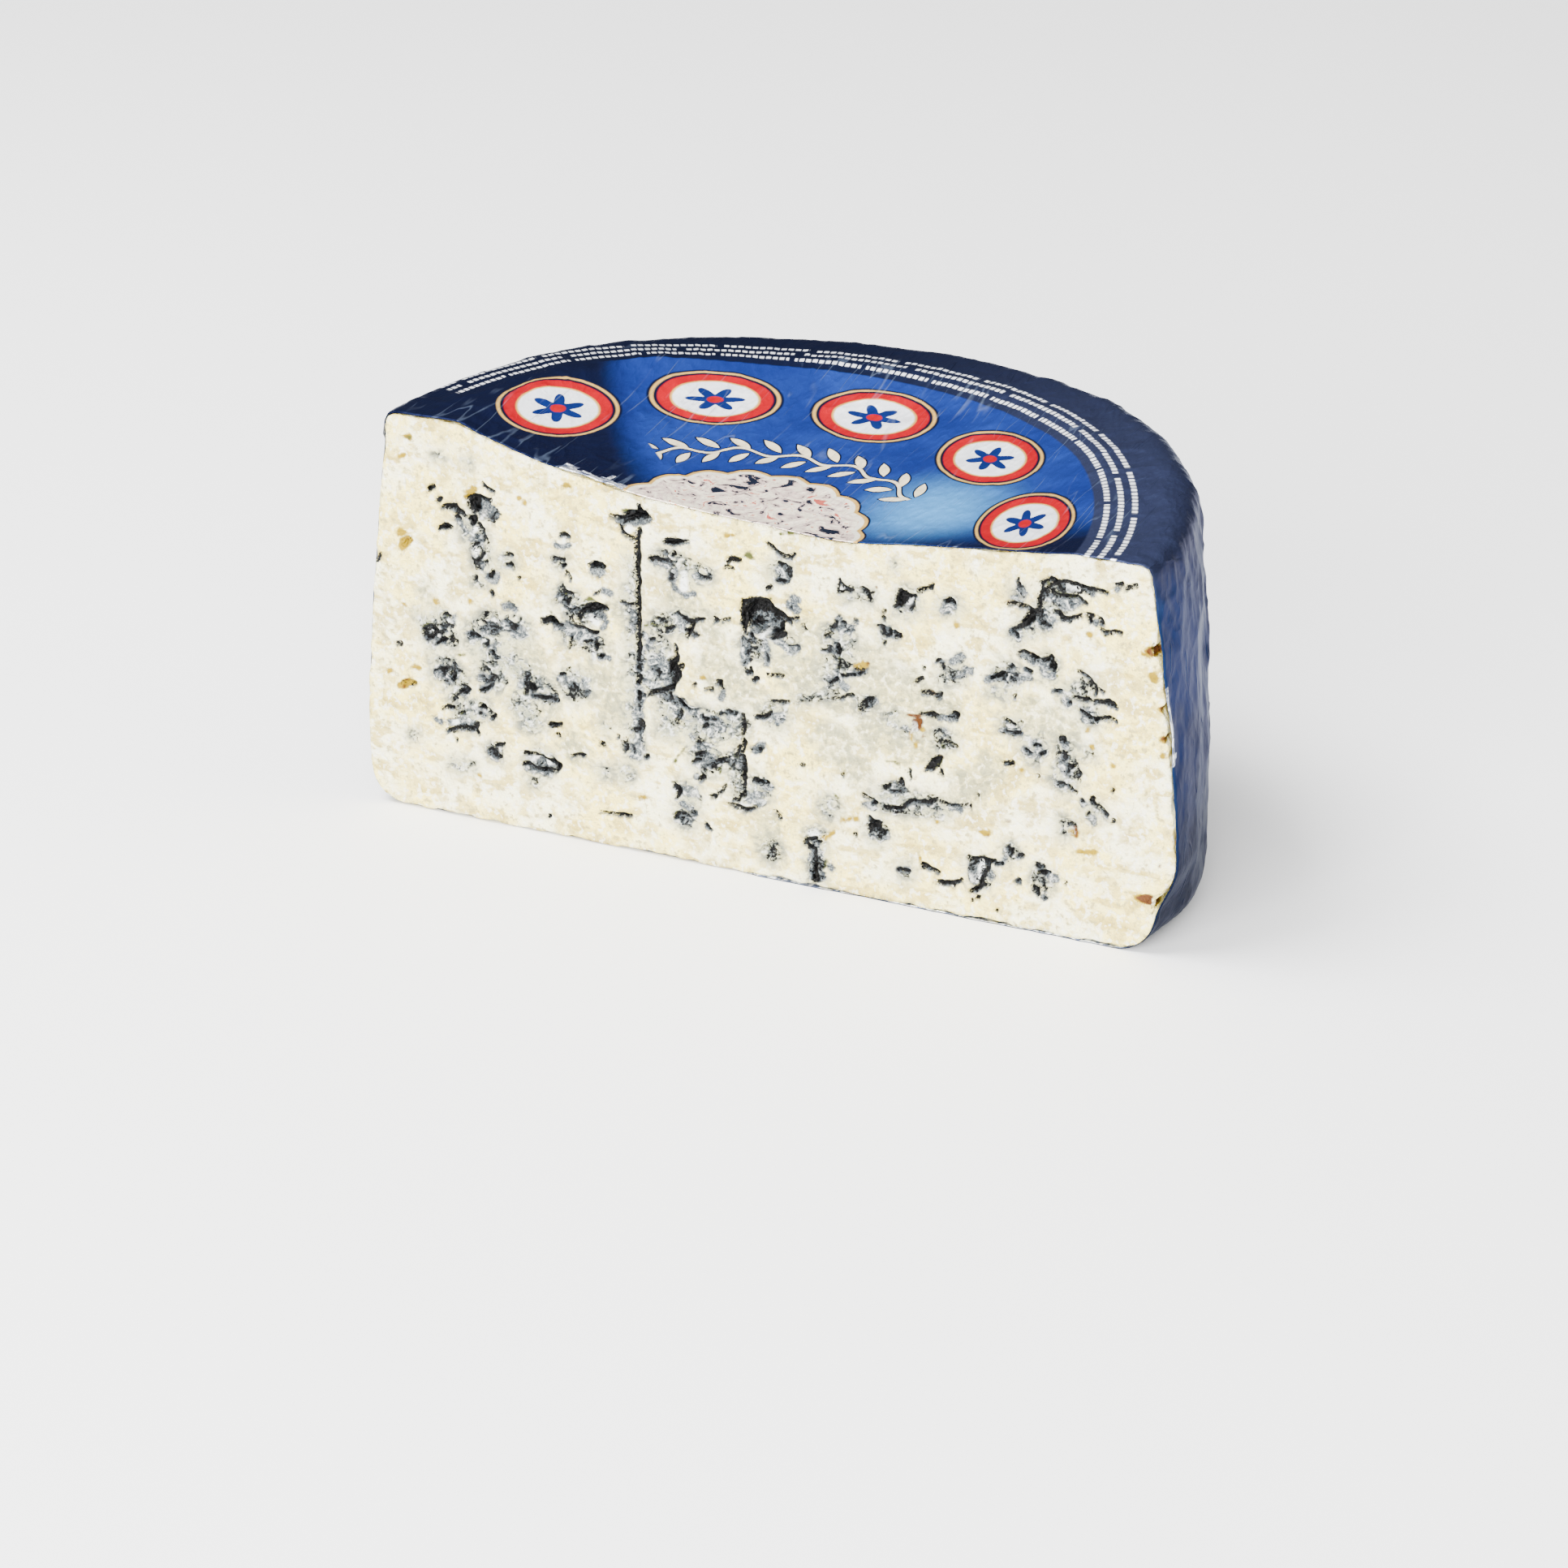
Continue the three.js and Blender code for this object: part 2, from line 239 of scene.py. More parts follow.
# Black cracks, and every mark after them, as runs of x, z and width
CRACKS = [
    [(-78.9, 74.2, 0.4), (-77.5, 74.5, 0.9), (-76.2, 74.8, 0.9), (-75.6, 75.1, 0.4)],
    [(-75.8, 74.5, 0.8), (-74.6, 73.6, 0.9), (-73.6, 73.6, 0.9), (-73.0, 73.0, 0.5)],
    [(-74.8, 73.6, 0.8), (-75.3, 72.6, 0.7), (-74.6, 72.1, 0.4)],
    [(-79.4, 69.2, 0.7), (-78.2, 69.9, 1.4), (-76.7, 69.9, 0.5)],
    [(-72.2, 77.4, 0.8), (-70.4, 77.8, 1.7), (-69.0, 78.0, 1.3), (-67.6, 77.7, 0.8), (-66.4, 77.8, 0.6)],
    [(-71.7, 77.0, 1.8), (-71.3, 75.6, 1.5), (-70.9, 74.2, 0.7)],
    [(-68.4, 82.0, 0.3), (-67.6, 81.0, 0.6), (-65.4, 79.8, 0.4)],
    [(-71.8, 72.8, 0.8), (-70.7, 72.6, 1.5), (-71.4, 71.5, 0.9)],
    [(-69.4, 71.8, 0.5), (-68.5, 70.4, 0.7), (-68.4, 69.0, 0.6)],
    [(-82.4, 78.3, 0.6), (-80.9, 78.9, 0.6)], [(-80.2, 75.6, 0.5), (-79.2, 76.5, 0.7)],
    [(-71.4, 66.3, 0.5), (-70.0, 66.8, 0.7)],
    [(-49.0, 72.4, 0.4), (-48.0, 72.7, 0.8), (-46.8, 72.2, 0.5)],
    [(-50.6, 66.7, 0.7), (-47.8, 67.0, 0.4)],
    [(-41.4, 66.3, 0.8), (-40.2, 66.9, 1.3), (-39.0, 67.0, 1.3), (-37.8, 66.9, 0.6)],
    [(-29.3, 83.6, 0.4), (-29.2, 82.2, 1.0), (-28.9, 81.0, 1.9), (-28.2, 80.5, 1.2), (-27.0, 80.3, 0.4)],
    [(-36.2, 79.4, 0.3), (-34.0, 79.0, 0.8), (-31.5, 79.5, 1.2), (-29.4, 80.4, 1.9)],
    [(-32.6, 78.2, 0.5), (-31.0, 78.8, 0.9)],
    [(-33.6, 77.2, 0.5), (-33.2, 76.0, 0.4), (-32.2, 75.2, 0.4), (-30.5, 74.8, 0.3)],
    [(-28.6, 77.3, 0.5), (-29.5, 76.2, 0.9)],
    [(-22.8, 75.4, 0.5), (-21.6, 75.6, 1.2), (-20.4, 75.7, 1.6), (-19.2, 75.9, 1.0), (-16.8, 76.5, 0.3)],
    [(-20.6, 73.2, 0.4), (-20.5, 72.6, 0.7)],
    [(-26.4, 70.6, 0.9), (-25.0, 71.0, 0.9), (-23.2, 70.8, 0.5), (-22.0, 70.7, 0.4)],
    [(-21.2, 67.6, 0.6), (-21.4, 66.6, 0.6)],
    [(-13.8, 69.0, 0.5), (-13.0, 68.6, 0.8), (-12.0, 68.4, 0.4)],
    [(-7.3, 72.9, 0.5), (-6.6, 73.9, 0.8), (-5.4, 74.2, 0.8), (-4.2, 74.2, 0.6)],
    [(-7.8, 71.9, 0.3), (-6.0, 71.8, 0.3)],
    [(2.6, 79.1, 0.4), (3.8, 78.1, 0.6), (4.8, 77.3, 0.5), (6.5, 76.8, 0.4), (8.2, 76.8, 0.5),
     (9.2, 77.6, 0.3)], [(5.4, 74.7, 0.9), (6.8, 74.5, 0.5)], [(5.0, 70.7, 0.6), (6.6, 70.8, 0.5)],
    [(2.4, 68.6, 0.7), (3.4, 69.2, 0.4)],
    [(19.8, 73.8, 0.5), (19.7, 70.8, 0.5), (21.2, 71.0, 0.3), (23.0, 71.6, 0.5), (21.6, 71.8, 0.4),
     (20.0, 73.2, 0.3)], [(25.4, 72.4, 0.7), (26.8, 71.6, 0.7), (28.0, 71.6, 0.4)],
    [(27.0, 71.4, 0.5), (27.0, 70.2, 0.7)], [(30.6, 68.3, 0.6)], [(30.6, 66.6, 0.7)],
    [(34.4, 73.4, 0.9), (34.9, 72.2, 1.7), (34.3, 71.0, 1.8), (33.5, 69.9, 1.1)],
    [(35.4, 72.1, 1.5), (37.1, 72.8, 1.0), (38.0, 72.8, 0.5)], [(37.3, 71.2, 0.7), (36.9, 69.8, 0.9)],
    [(38.8, 74.1, 0.4), (40.2, 74.8, 0.4), (41.6, 75.3, 0.6), (42.2, 76.3, 0.4)],
    [(45.2, 72.9, 0.6), (46.1, 73.5, 0.8), (47.2, 72.8, 0.4)],
    [(59.8, 74.8, 0.5), (62.0, 75.0, 0.5), (64.4, 74.7, 0.5), (65.4, 74.0, 0.9), (65.1, 72.2, 1.7),
     (64.2, 71.3, 1.9), (63.0, 70.4, 1.0), (60.8, 68.7, 0.5)], [(61.0, 68.4, 0.6), (62.2, 67.8, 0.5)],
    [(65.6, 74.0, 0.8), (66.9, 74.5, 0.6), (67.2, 76.8, 0.7), (67.6, 79.0, 0.6), (69.4, 80.1, 0.6),
     (70.8, 81.4, 1.0)],
    [(67.4, 79.4, 0.4), (67.5, 80.9, 0.6), (69.0, 81.4, 0.5), (69.8, 82.2, 0.9), (70.8, 81.5, 1.0),
     (71.4, 80.4, 0.9)],
    [(71.4, 81.6, 0.8), (73.2, 81.8, 0.8), (75.2, 81.8, 0.7), (76.8, 81.5, 0.7), (78.2, 81.0, 0.8),
     (80.6, 81.3, 0.5), (82.4, 81.0, 0.4)],
    [(68.6, 79.0, 0.4), (70.6, 78.6, 0.6), (73.0, 78.4, 0.6), (75.4, 78.9, 0.5), (77.6, 78.0, 0.6)],
    [(70.4, 74.6, 0.5), (71.6, 74.5, 1.0), (72.4, 73.8, 1.2), (73.8, 73.5, 0.6), (75.2, 74.4, 0.6),
     (76.6, 74.9, 0.4)], [(67.6, 71.4, 0.6), (69.4, 71.5, 0.5)], [(78.2, 75.4, 0.8), (79.4, 75.3, 0.7)],
    [(78.6, 74.8, 0.8), (79.0, 74.0, 0.7)], [(81.0, 74.8, 0.7), (81.5, 74.1, 0.6)],
    [(81.2, 72.8, 0.3), (82.4, 72.0, 0.5), (84.6, 72.8, 0.4), (86.0, 72.5, 0.4)],
    [(84.4, 83.3, 0.4), (85.6, 83.5, 0.9)], [(86.8, 83.0, 0.4), (88.2, 83.4, 0.4), (89.4, 84.1, 0.3)],
    [(62.2, 80.8, 0.4), (62.6, 79.0, 0.5)], [(-95.8, 60.4, 0.6), (-96.3, 59.0, 0.6)],
    [(-70.3, 62.6, 0.5), (-69.2, 64.2, 0.6), (-68.4, 65.4, 0.5)], [(-68.0, 63.1, 0.6)],
    [(-66.2, 60.8, 1.0), (-66.8, 59.9, 0.9), (-67.6, 59.6, 0.4)], [(-70.9, 58.7, 0.9)],
    [(-66.8, 56.2, 0.5), (-66.4, 55.6, 0.6)],
    [(-63.2, 63.0, 0.3), (-61.6, 63.3, 0.7), (-60.6, 63.0, 0.4)],
    [(-63.0, 65.6, 0.4), (-61.4, 65.7, 0.6)], [(-59.4, 60.8, 0.5)],
    [(-79.6, 48.5, 0.4), (-78.6, 48.7, 0.8), (-77.8, 48.4, 0.5)],
    [(-79.2, 45.7, 0.8), (-78.2, 46.2, 0.5), (-77.0, 46.4, 0.3)],
    [(-84.9, 43.2, 0.4), (-84.6, 44.3, 0.4), (-82.8, 45.2, 0.7), (-81.8, 44.7, 0.8), (-82.0, 43.6, 0.8),
     (-83.4, 42.3, 0.8), (-84.8, 42.8, 0.4)],
    [(-81.2, 41.4, 0.4), (-80.4, 42.0, 0.6), (-79.4, 42.4, 1.0), (-78.8, 42.8, 0.7)],
    [(-81.0, 43.8, 0.4), (-80.4, 43.2, 0.4)], [(-91.8, 39.6, 0.4), (-90.8, 39.5, 0.5)],
    [(-80.6, 35.2, 0.8), (-79.6, 35.3, 0.9), (-78.8, 35.2, 0.5)],
    [(-77.4, 34.8, 0.9), (-77.2, 33.4, 1.0)], [(-76.8, 37.2, 0.5)],
    [(-75.2, 32.4, 0.4), (-73.8, 31.9, 0.6)],
    [(-73.4, 31.6, 0.7), (-74.2, 31.0, 1.2), (-75.2, 30.8, 0.8), (-76.6, 29.7, 0.4), (-77.6, 28.5, 0.4)],
    [(-61.8, 49.2, 1.0), (-61.6, 48.2, 1.1)],
    [(-72.2, 45.0, 0.9), (-71.4, 45.0, 0.7), (-70.2, 44.8, 0.5)],
    [(-68.2, 44.0, 0.9), (-68.2, 43.2, 0.9), (-69.0, 42.8, 0.4)],
    [(-67.4, 41.8, 0.4), (-66.8, 41.5, 0.8), (-66.2, 40.8, 0.4)],
    [(-67.4, 47.6, 0.5), (-64.8, 47.4, 0.3)], [(-67.6, 34.6, 0.5), (-67.0, 35.4, 0.8)],
    [(-58.6, 35.4, 0.8), (-57.6, 35.2, 1.7), (-56.8, 34.6, 1.6)],
    [(-58.3, 34.2, 1.0), (-58.4, 33.2, 0.8)], [(-58.6, 36.4, 0.5), (-57.4, 38.0, 0.3)],
    [(-70.6, 31.7, 0.3), (-68.8, 32.4, 0.6), (-67.2, 33.7, 0.5)],
    [(-56.8, 32.8, 0.5), (-54.4, 32.8, 0.7), (-51.0, 33.0, 0.6)],
    [(-54.0, 51.6, 0.5), (-53.0, 51.4, 0.9), (-51.8, 52.1, 1.5), (-50.6, 51.8, 1.3), (-49.4, 50.8, 0.5)],
    [(-49.0, 65.7, 0.5), (-48.4, 65.2, 0.8), (-47.6, 65.6, 0.5)],
    [(-47.4, 64.0, 0.3), (-46.4, 62.9, 0.4)],
    [(-48.0, 59.3, 0.8), (-46.8, 59.3, 0.5), (-46.0, 59.0, 0.5)],
    [(-47.5, 56.9, 1.0), (-46.6, 57.8, 0.6)],
    [(-44.4, 54.6, 0.5), (-43.0, 55.6, 0.9), (-41.4, 56.2, 1.5), (-40.0, 56.9, 1.7), (-38.8, 57.0, 1.3),
     (-37.4, 57.0, 0.5)], [(-43.4, 56.6, 0.5), (-42.0, 57.2, 0.7), (-39.6, 57.8, 0.7)],
    [(-44.0, 54.4, 0.6), (-44.2, 53.4, 0.6)], [(-40.4, 60.4, 0.5), (-39.2, 60.9, 0.4)],
    [(-47.2, 51.6, 0.6), (-45.6, 51.3, 0.8), (-44.0, 51.4, 0.9), (-42.0, 51.0, 0.6), (-40.4, 51.0, 0.7),
     (-39.6, 51.2, 0.3)], [(-43.0, 48.3, 0.5), (-41.4, 48.5, 0.6)],
    [(-40.4, 49.2, 0.4), (-40.1, 48.0, 0.8), (-40.3, 46.8, 0.3)],
    [(-46.4, 48.6, 0.4), (-47.0, 46.4, 0.2)],
    [(-39.8, 45.4, 0.5), (-39.0, 45.6, 0.9), (-38.4, 45.9, 0.4)],
    [(-46.4, 37.6, 0.5), (-46.0, 36.7, 1.0), (-45.5, 36.2, 0.5)],
    [(-49.4, 39.4, 0.4), (-48.2, 39.4, 0.4)], [(-31.8, 59.0, 0.5), (-30.2, 59.4, 0.5)],
    [(-33.8, 59.4, 0.3), (-32.6, 59.0, 0.3)],
    [(-20.0, 59.2, 0.4), (-18.6, 58.6, 0.5), (-17.4, 57.8, 0.7), (-16.0, 57.7, 0.8), (-14.8, 58.5, 0.6),
     (-13.2, 58.8, 0.3)],
    [(-15.8, 57.2, 0.6), (-16.2, 56.0, 0.6), (-16.8, 55.2, 0.9), (-17.4, 54.0, 0.5)],
    [(-17.6, 55.6, 0.5), (-16.0, 55.0, 0.3)],
    [(-10.6, 59.6, 0.4), (-10.0, 59.1, 0.8), (-10.6, 58.6, 0.3)], [(-8.6, 59.1, 0.3), (-7.0, 59.8, 0.3)],
    [(-24.8, 57.0, 0.5), (-22.6, 56.2, 0.4)],
    [(-22.4, 55.0, 0.5), (-21.2, 55.4, 0.8), (-20.6, 55.6, 0.3)],
    [(-26.8, 51.6, 0.4), (-26.0, 51.9, 0.6)], [(-27.4, 49.8, 0.4)],
    [(-20.4, 51.4, 0.4), (-20.2, 50.0, 0.4), (-20.0, 48.4, 0.8), (-20.8, 47.4, 1.4), (-21.2, 46.0, 1.5),
     (-20.8, 44.6, 1.5), (-20.6, 43.4, 1.2), (-21.0, 42.2, 0.9), (-21.6, 41.0, 1.2), (-23.0, 40.4, 0.9),
     (-24.4, 39.8, 0.8), (-27.4, 38.9, 0.4)], [(-19.8, 46.0, 0.6), (-18.8, 46.8, 0.7)],
    [(-19.4, 45.0, 0.9), (-20.0, 44.0, 0.9)], [(-22.0, 39.6, 0.5), (-21.6, 38.8, 0.5)],
    [(-19.5, 38.5, 0.5), (-18.6, 37.6, 0.8), (-17.0, 36.8, 0.4)],
    [(-19.2, 36.4, 0.3), (-19.1, 35.2, 0.8), (-19.2, 34.5, 0.4)],
    [(-13.8, 35.7, 0.4), (-12.8, 35.2, 0.9)], [(-10.2, 44.4, 0.4), (-9.2, 44.5, 0.8), (-8.8, 43.2, 0.5)],
    [(-16.2, 42.9, 0.4), (-15.6, 43.2, 0.4)], [(-12.8, 42.6, 0.3), (-11.4, 42.8, 0.4)],
    [(-7.4, 38.4, 0.7), (-6.4, 38.2, 0.4)], [(-5.4, 38.0, 0.6)], [(-9.0, 37.3, 0.5), (-8.0, 37.5, 0.3)],
    [(-3.4, 64.8, 0.7), (-3.4, 62.0, 1.2), (-3.2, 60.0, 1.2), (-3.0, 57.4, 0.6)],
    [(-3.0, 64.8, 0.7), (-1.0, 65.2, 1.3), (2.0, 65.3, 1.4), (3.4, 64.8, 0.9)],
    [(-2.4, 62.0, 1.6), (0.0, 62.6, 2.6), (1.6, 63.1, 2.2), (4.0, 63.8, 1.1), (5.2, 63.7, 1.0),
     (6.8, 62.7, 1.0), (8.4, 61.8, 0.6)], [(7.6, 62.5, 0.6), (10.0, 63.2, 0.3)],
    [(5.9, 61.2, 1.2), (5.2, 60.0, 2.0), (4.6, 59.0, 2.0), (4.0, 57.6, 1.1)],
    [(6.6, 58.6, 1.0), (5.2, 57.8, 0.9)], [(2.6, 58.0, 0.5), (3.6, 57.6, 0.7)],
    [(-1.8, 59.6, 0.9), (-0.6, 59.0, 0.5)], [(-1.4, 57.2, 0.5), (-1.0, 56.2, 0.4)],
    [(-3.0, 49.0, 0.4), (-2.4, 48.4, 0.8), (-1.5, 48.7, 0.8), (-1.3, 49.5, 0.3)],
    [(-0.6, 46.9, 1.0), (0.6, 47.3, 0.5)], [(2.6, 48.8, 0.2), (4.4, 48.9, 0.4), (6.4, 49.0, 0.3)],
    [(2.2, 53.6, 0.4), (2.5, 51.8, 0.5)], [(11.2, 61.6, 0.3), (12.0, 60.8, 0.5)],
    [(18.0, 62.1, 0.6), (18.9, 62.6, 0.9), (19.0, 63.8, 0.7)],
    [(19.6, 58.2, 0.6), (19.6, 57.0, 0.9), (19.6, 56.3, 0.4)], [(15.6, 56.7, 0.3), (17.2, 56.5, 0.4)],
    [(16.6, 60.0, 0.4), (18.0, 61.0, 0.3)], [(19.8, 54.6, 0.5), (19.4, 52.8, 0.5)],
    [(19.0, 50.2, 0.7), (17.6, 49.2, 0.6)], [(20.8, 51.2, 0.6), (22.4, 52.0, 0.4), (23.6, 52.2, 0.4)],
    [(24.6, 52.5, 0.7), (25.4, 53.2, 0.4)], [(18.2, 45.5, 0.3), (21.4, 46.8, 0.4), (23.0, 47.4, 0.4)],
    [(26.5, 46.4, 0.7), (27.2, 46.9, 1.2), (27.8, 47.4, 0.5)], [(25.4, 44.4, 0.4), (25.0, 43.8, 0.4)],
    [(29.2, 64.4, 0.4), (30.2, 64.4, 0.6), (30.3, 63.2, 0.8), (31.2, 62.4, 0.5), (32.0, 62.8, 0.6),
     (32.0, 63.8, 0.6)], [(33.0, 63.6, 0.5), (34.4, 63.2, 0.8), (33.4, 62.6, 0.4)], [(30.8, 60.8, 0.5)],
    [(40.2, 56.8, 0.5)], [(43.4, 59.2, 0.7), (44.0, 59.5, 0.4)], [(44.6, 58.4, 0.6), (44.8, 57.5, 0.6)],
    [(38.2, 53.0, 0.5), (38.8, 53.8, 0.6), (39.6, 54.2, 0.3)],
    [(39.6, 51.0, 0.3), (41.0, 51.3, 0.7), (43.0, 51.1, 0.4)], [(44.2, 51.6, 0.4), (43.4, 50.4, 0.4)],
    [(39.4, 46.0, 0.4), (40.6, 46.2, 0.7), (42.0, 46.2, 0.8), (43.2, 46.0, 0.6)],
    [(47.4, 47.3, 0.6), (48.0, 46.8, 1.2)],
    [(3.0, 42.4, 0.3), (4.6, 42.6, 0.4), (6.2, 42.7, 0.6), (7.6, 43.1, 0.3)],
    [(-0.2, 38.2, 0.8), (1.4, 38.4, 0.7), (2.4, 39.0, 0.6), (3.4, 40.0, 0.4)],
    [(43.6, 40.2, 0.4), (46.0, 40.6, 0.4), (48.2, 40.0, 0.3)],
    [(42.0, 34.4, 1.1), (43.0, 35.4, 1.7), (44.2, 36.3, 1.0)], [(41.0, 33.5, 0.8), (42.4, 33.9, 1.2)],
    [(44.4, 33.8, 0.4), (45.0, 33.0, 0.4)],
    [(62.6, 64.3, 0.4), (63.8, 64.6, 0.5), (65.0, 64.2, 0.6), (66.4, 63.6, 0.9), (67.2, 63.6, 0.4)],
    [(68.2, 63.4, 0.6), (69.2, 63.8, 0.7), (70.0, 64.6, 0.7), (70.4, 63.4, 0.7), (71.0, 62.8, 0.8),
     (70.6, 61.9, 1.2)],
    [(76.4, 62.3, 0.3), (78.0, 61.4, 0.4), (79.4, 60.4, 0.4), (80.1, 59.4, 0.6), (80.2, 57.6, 0.6)],
    [(81.0, 59.0, 0.3), (82.2, 58.4, 0.3)],
    [(56.0, 57.0, 0.6), (57.2, 57.6, 0.8), (58.4, 58.3, 1.0), (59.2, 58.8, 0.4)],
    [(60.2, 60.2, 0.5), (61.2, 60.9, 0.5)], [(61.8, 58.7, 0.6)], [(60.4, 57.6, 0.4), (61.6, 57.6, 0.4)],
    [(64.4, 60.8, 0.5), (65.6, 60.3, 0.4)], [(71.2, 56.8, 0.5), (72.2, 57.0, 0.4)], [(74.4, 54.8, 0.8)],
    [(75.4, 56.2, 0.3), (77.0, 56.1, 0.5), (78.4, 56.0, 0.8), (79.4, 55.9, 0.3)],
    [(80.2, 56.0, 0.6), (82.2, 56.4, 0.7), (83.4, 56.6, 1.1), (84.4, 56.2, 0.8), (85.2, 55.7, 0.3)],
    [(76.8, 53.4, 0.4), (78.2, 52.6, 0.8), (79.6, 52.2, 0.7), (80.4, 52.0, 1.1), (81.4, 52.4, 0.6),
     (83.0, 52.8, 0.6), (85.2, 52.5, 0.3)], [(61.8, 54.0, 0.5)], [(59.6, 48.2, 0.4), (61.4, 47.6, 0.4)],
    [(59.6, 45.5, 0.3), (61.4, 45.4, 0.4), (63.0, 45.6, 0.3)], [(63.4, 48.0, 0.4)],
    [(66.6, 43.6, 0.5), (67.8, 43.9, 0.5)], [(68.6, 42.2, 0.4), (67.8, 41.4, 0.5)],
    [(64.6, 42.1, 0.6), (65.3, 41.6, 0.5)], [(59.2, 38.2, 0.3), (61.4, 38.4, 0.5)],
    [(73.2, 42.8, 0.8), (73.6, 41.9, 1.0)], [(74.8, 40.2, 1.2), (75.4, 40.3, 0.9)],
    [(77.0, 39.2, 0.9), (76.8, 38.8, 0.5)], [(72.8, 46.2, 0.4), (73.4, 45.4, 0.6)], [(74.4, 38.8, 0.6)],
    [(67.2, 36.6, 0.5)], [(84.8, 36.6, 0.6)], [(72.4, 36.0, 0.4), (73.4, 35.7, 0.6)],
    [(74.6, 35.6, 0.3), (76.6, 34.5, 0.3)], [(-80.2, 25.9, 0.4), (-79.2, 26.4, 0.6), (-77.6, 26.6, 0.6)],
    [(-75.6, 25.4, 0.6), (-74.8, 25.5, 0.7)],
    [(-79.0, 20.6, 0.7), (-77.4, 21.1, 0.7), (-76.0, 21.7, 0.6), (-74.6, 22.2, 0.8), (-73.2, 22.0, 0.6),
     (-71.8, 22.7, 0.6), (-71.4, 23.8, 0.8)], [(-71.4, 22.2, 0.4), (-71.0, 21.3, 0.6)],
    [(-70.4, 27.8, 0.7), (-69.8, 28.4, 0.9), (-69.0, 28.2, 0.7)], [(-70.4, 26.1, 0.5)],
    [(-67.2, 26.0, 0.7), (-66.6, 26.6, 0.8)], [(-76.8, 18.8, 0.5)],
    [(-66.6, 19.2, 0.6), (-65.8, 19.6, 0.8), (-64.6, 19.8, 0.6)],
    [(-68.4, 17.8, 0.6), (-67.2, 17.8, 0.9), (-66.5, 17.1, 0.7)],
    [(-67.8, 16.8, 0.4), (-66.6, 16.4, 0.5), (-65.0, 16.6, 0.6)],
    [(-59.0, 18.8, 0.6), (-57.0, 19.0, 0.4), (-55.0, 18.6, 0.8), (-53.2, 18.2, 0.8), (-51.6, 17.8, 0.9),
     (-50.4, 17.2, 1.3), (-51.0, 15.9, 0.8)],
    [(-59.2, 16.0, 0.8), (-58.0, 16.3, 0.8), (-56.4, 15.5, 0.6), (-54.6, 15.4, 0.7), (-53.4, 15.6, 1.0),
     (-51.4, 15.6, 0.6)], [(-53.2, 4.4, 0.5)], [(-56.2, 12.2, 0.4)],
    [(-52.4, 27.0, 0.9), (-51.0, 27.0, 0.9), (-49.4, 27.6, 0.4)], [(-50.2, 25.0, 0.6)],
    [(-46.6, 20.2, 0.3), (-45.2, 20.9, 0.5), (-44.2, 21.0, 0.8), (-43.4, 21.0, 0.4)],
    [(-39.2, 24.8, 0.5), (-38.7, 24.6, 0.7)],
    [(-29.0, 31.9, 0.8), (-29.3, 30.4, 0.9), (-29.6, 29.6, 0.7), (-31.6, 29.5, 0.4)],
    [(-28.0, 23.6, 0.6), (-27.4, 24.0, 0.5)],
    [(-33.6, 26.0, 0.4), (-32.8, 25.2, 0.8), (-33.1, 24.0, 0.5)],
    [(-31.2, 24.8, 0.4), (-30.9, 23.8, 0.4)], [(-34.8, 27.3, 0.6)],
    [(-39.2, 8.1, 0.2), (-35.6, 8.2, 0.4), (-34.0, 8.5, 0.7), (-32.8, 8.4, 0.5), (-31.8, 8.6, 0.3)],
    [(-15.4, 26.1, 0.6), (-14.6, 26.6, 0.9), (-13.2, 27.1, 0.6)],
    [(-16.0, 24.6, 0.5), (-15.2, 25.0, 0.9), (-14.4, 25.2, 0.6)],
    [(-10.0, 25.6, 0.6), (-9.4, 25.9, 0.9), (-8.4, 26.5, 0.7)], [(-14.4, 20.8, 0.5), (-13.4, 21.3, 0.9)],
    [(-20.6, 18.0, 0.7), (-20.0, 17.4, 1.2), (-19.7, 16.6, 1.1), (-20.3, 15.4, 0.5)],
    [(-11.8, 16.9, 0.4), (-10.8, 17.1, 0.8)], [(-9.7, 18.1, 0.7), (-9.0, 18.7, 0.4), (-7.9, 20.2, 0.3)],
    [(-20.8, 10.2, 0.7), (-20.2, 11.0, 0.8), (-18.4, 11.3, 0.5)], [(-13.2, 9.9, 0.6), (-11.8, 9.1, 0.5)],
    [(-4.4, 30.4, 0.5), (-4.9, 29.0, 0.6), (-5.6, 27.7, 0.7)],
    [(-4.2, 18.6, 0.6), (-5.0, 17.3, 0.7), (-6.0, 17.2, 0.4)],
    [(-7.2, 16.1, 0.3), (-6.0, 15.7, 0.5), (-3.4, 15.4, 0.7), (-2.0, 15.8, 0.6), (-0.4, 16.6, 0.4)],
    [(-13.6, 33.2, 0.5), (-12.8, 33.8, 0.9)], [(-14.8, 30.2, 0.5), (-14.7, 29.2, 0.4)],
    [(-0.8, 22.9, 1.1), (0.4, 22.8, 0.9), (1.4, 22.6, 0.4)], [(2.3, 23.1, 0.9)], [(0.3, 30.3, 0.9)],
    [(10.6, 28.8, 0.3), (11.4, 29.0, 0.4)], [(20.8, 28.2, 0.4)], [(4.4, 16.5, 0.3), (5.6, 15.2, 0.3)],
    [(24.0, 14.8, 0.5)], [(11.4, 10.4, 0.5), (12.2, 11.2, 0.8), (13.2, 11.6, 0.9), (14.4, 11.9, 0.5)],
    [(12.2, 10.2, 0.9), (12.7, 9.5, 1.0), (13.8, 9.0, 0.7)], [(14.6, 11.2, 0.4), (15.4, 11.1, 0.5)],
    [(27.4, 19.6, 0.6), (28.0, 18.8, 1.2), (28.7, 18.0, 1.6), (29.1, 17.2, 1.8), (31.0, 16.4, 0.6)],
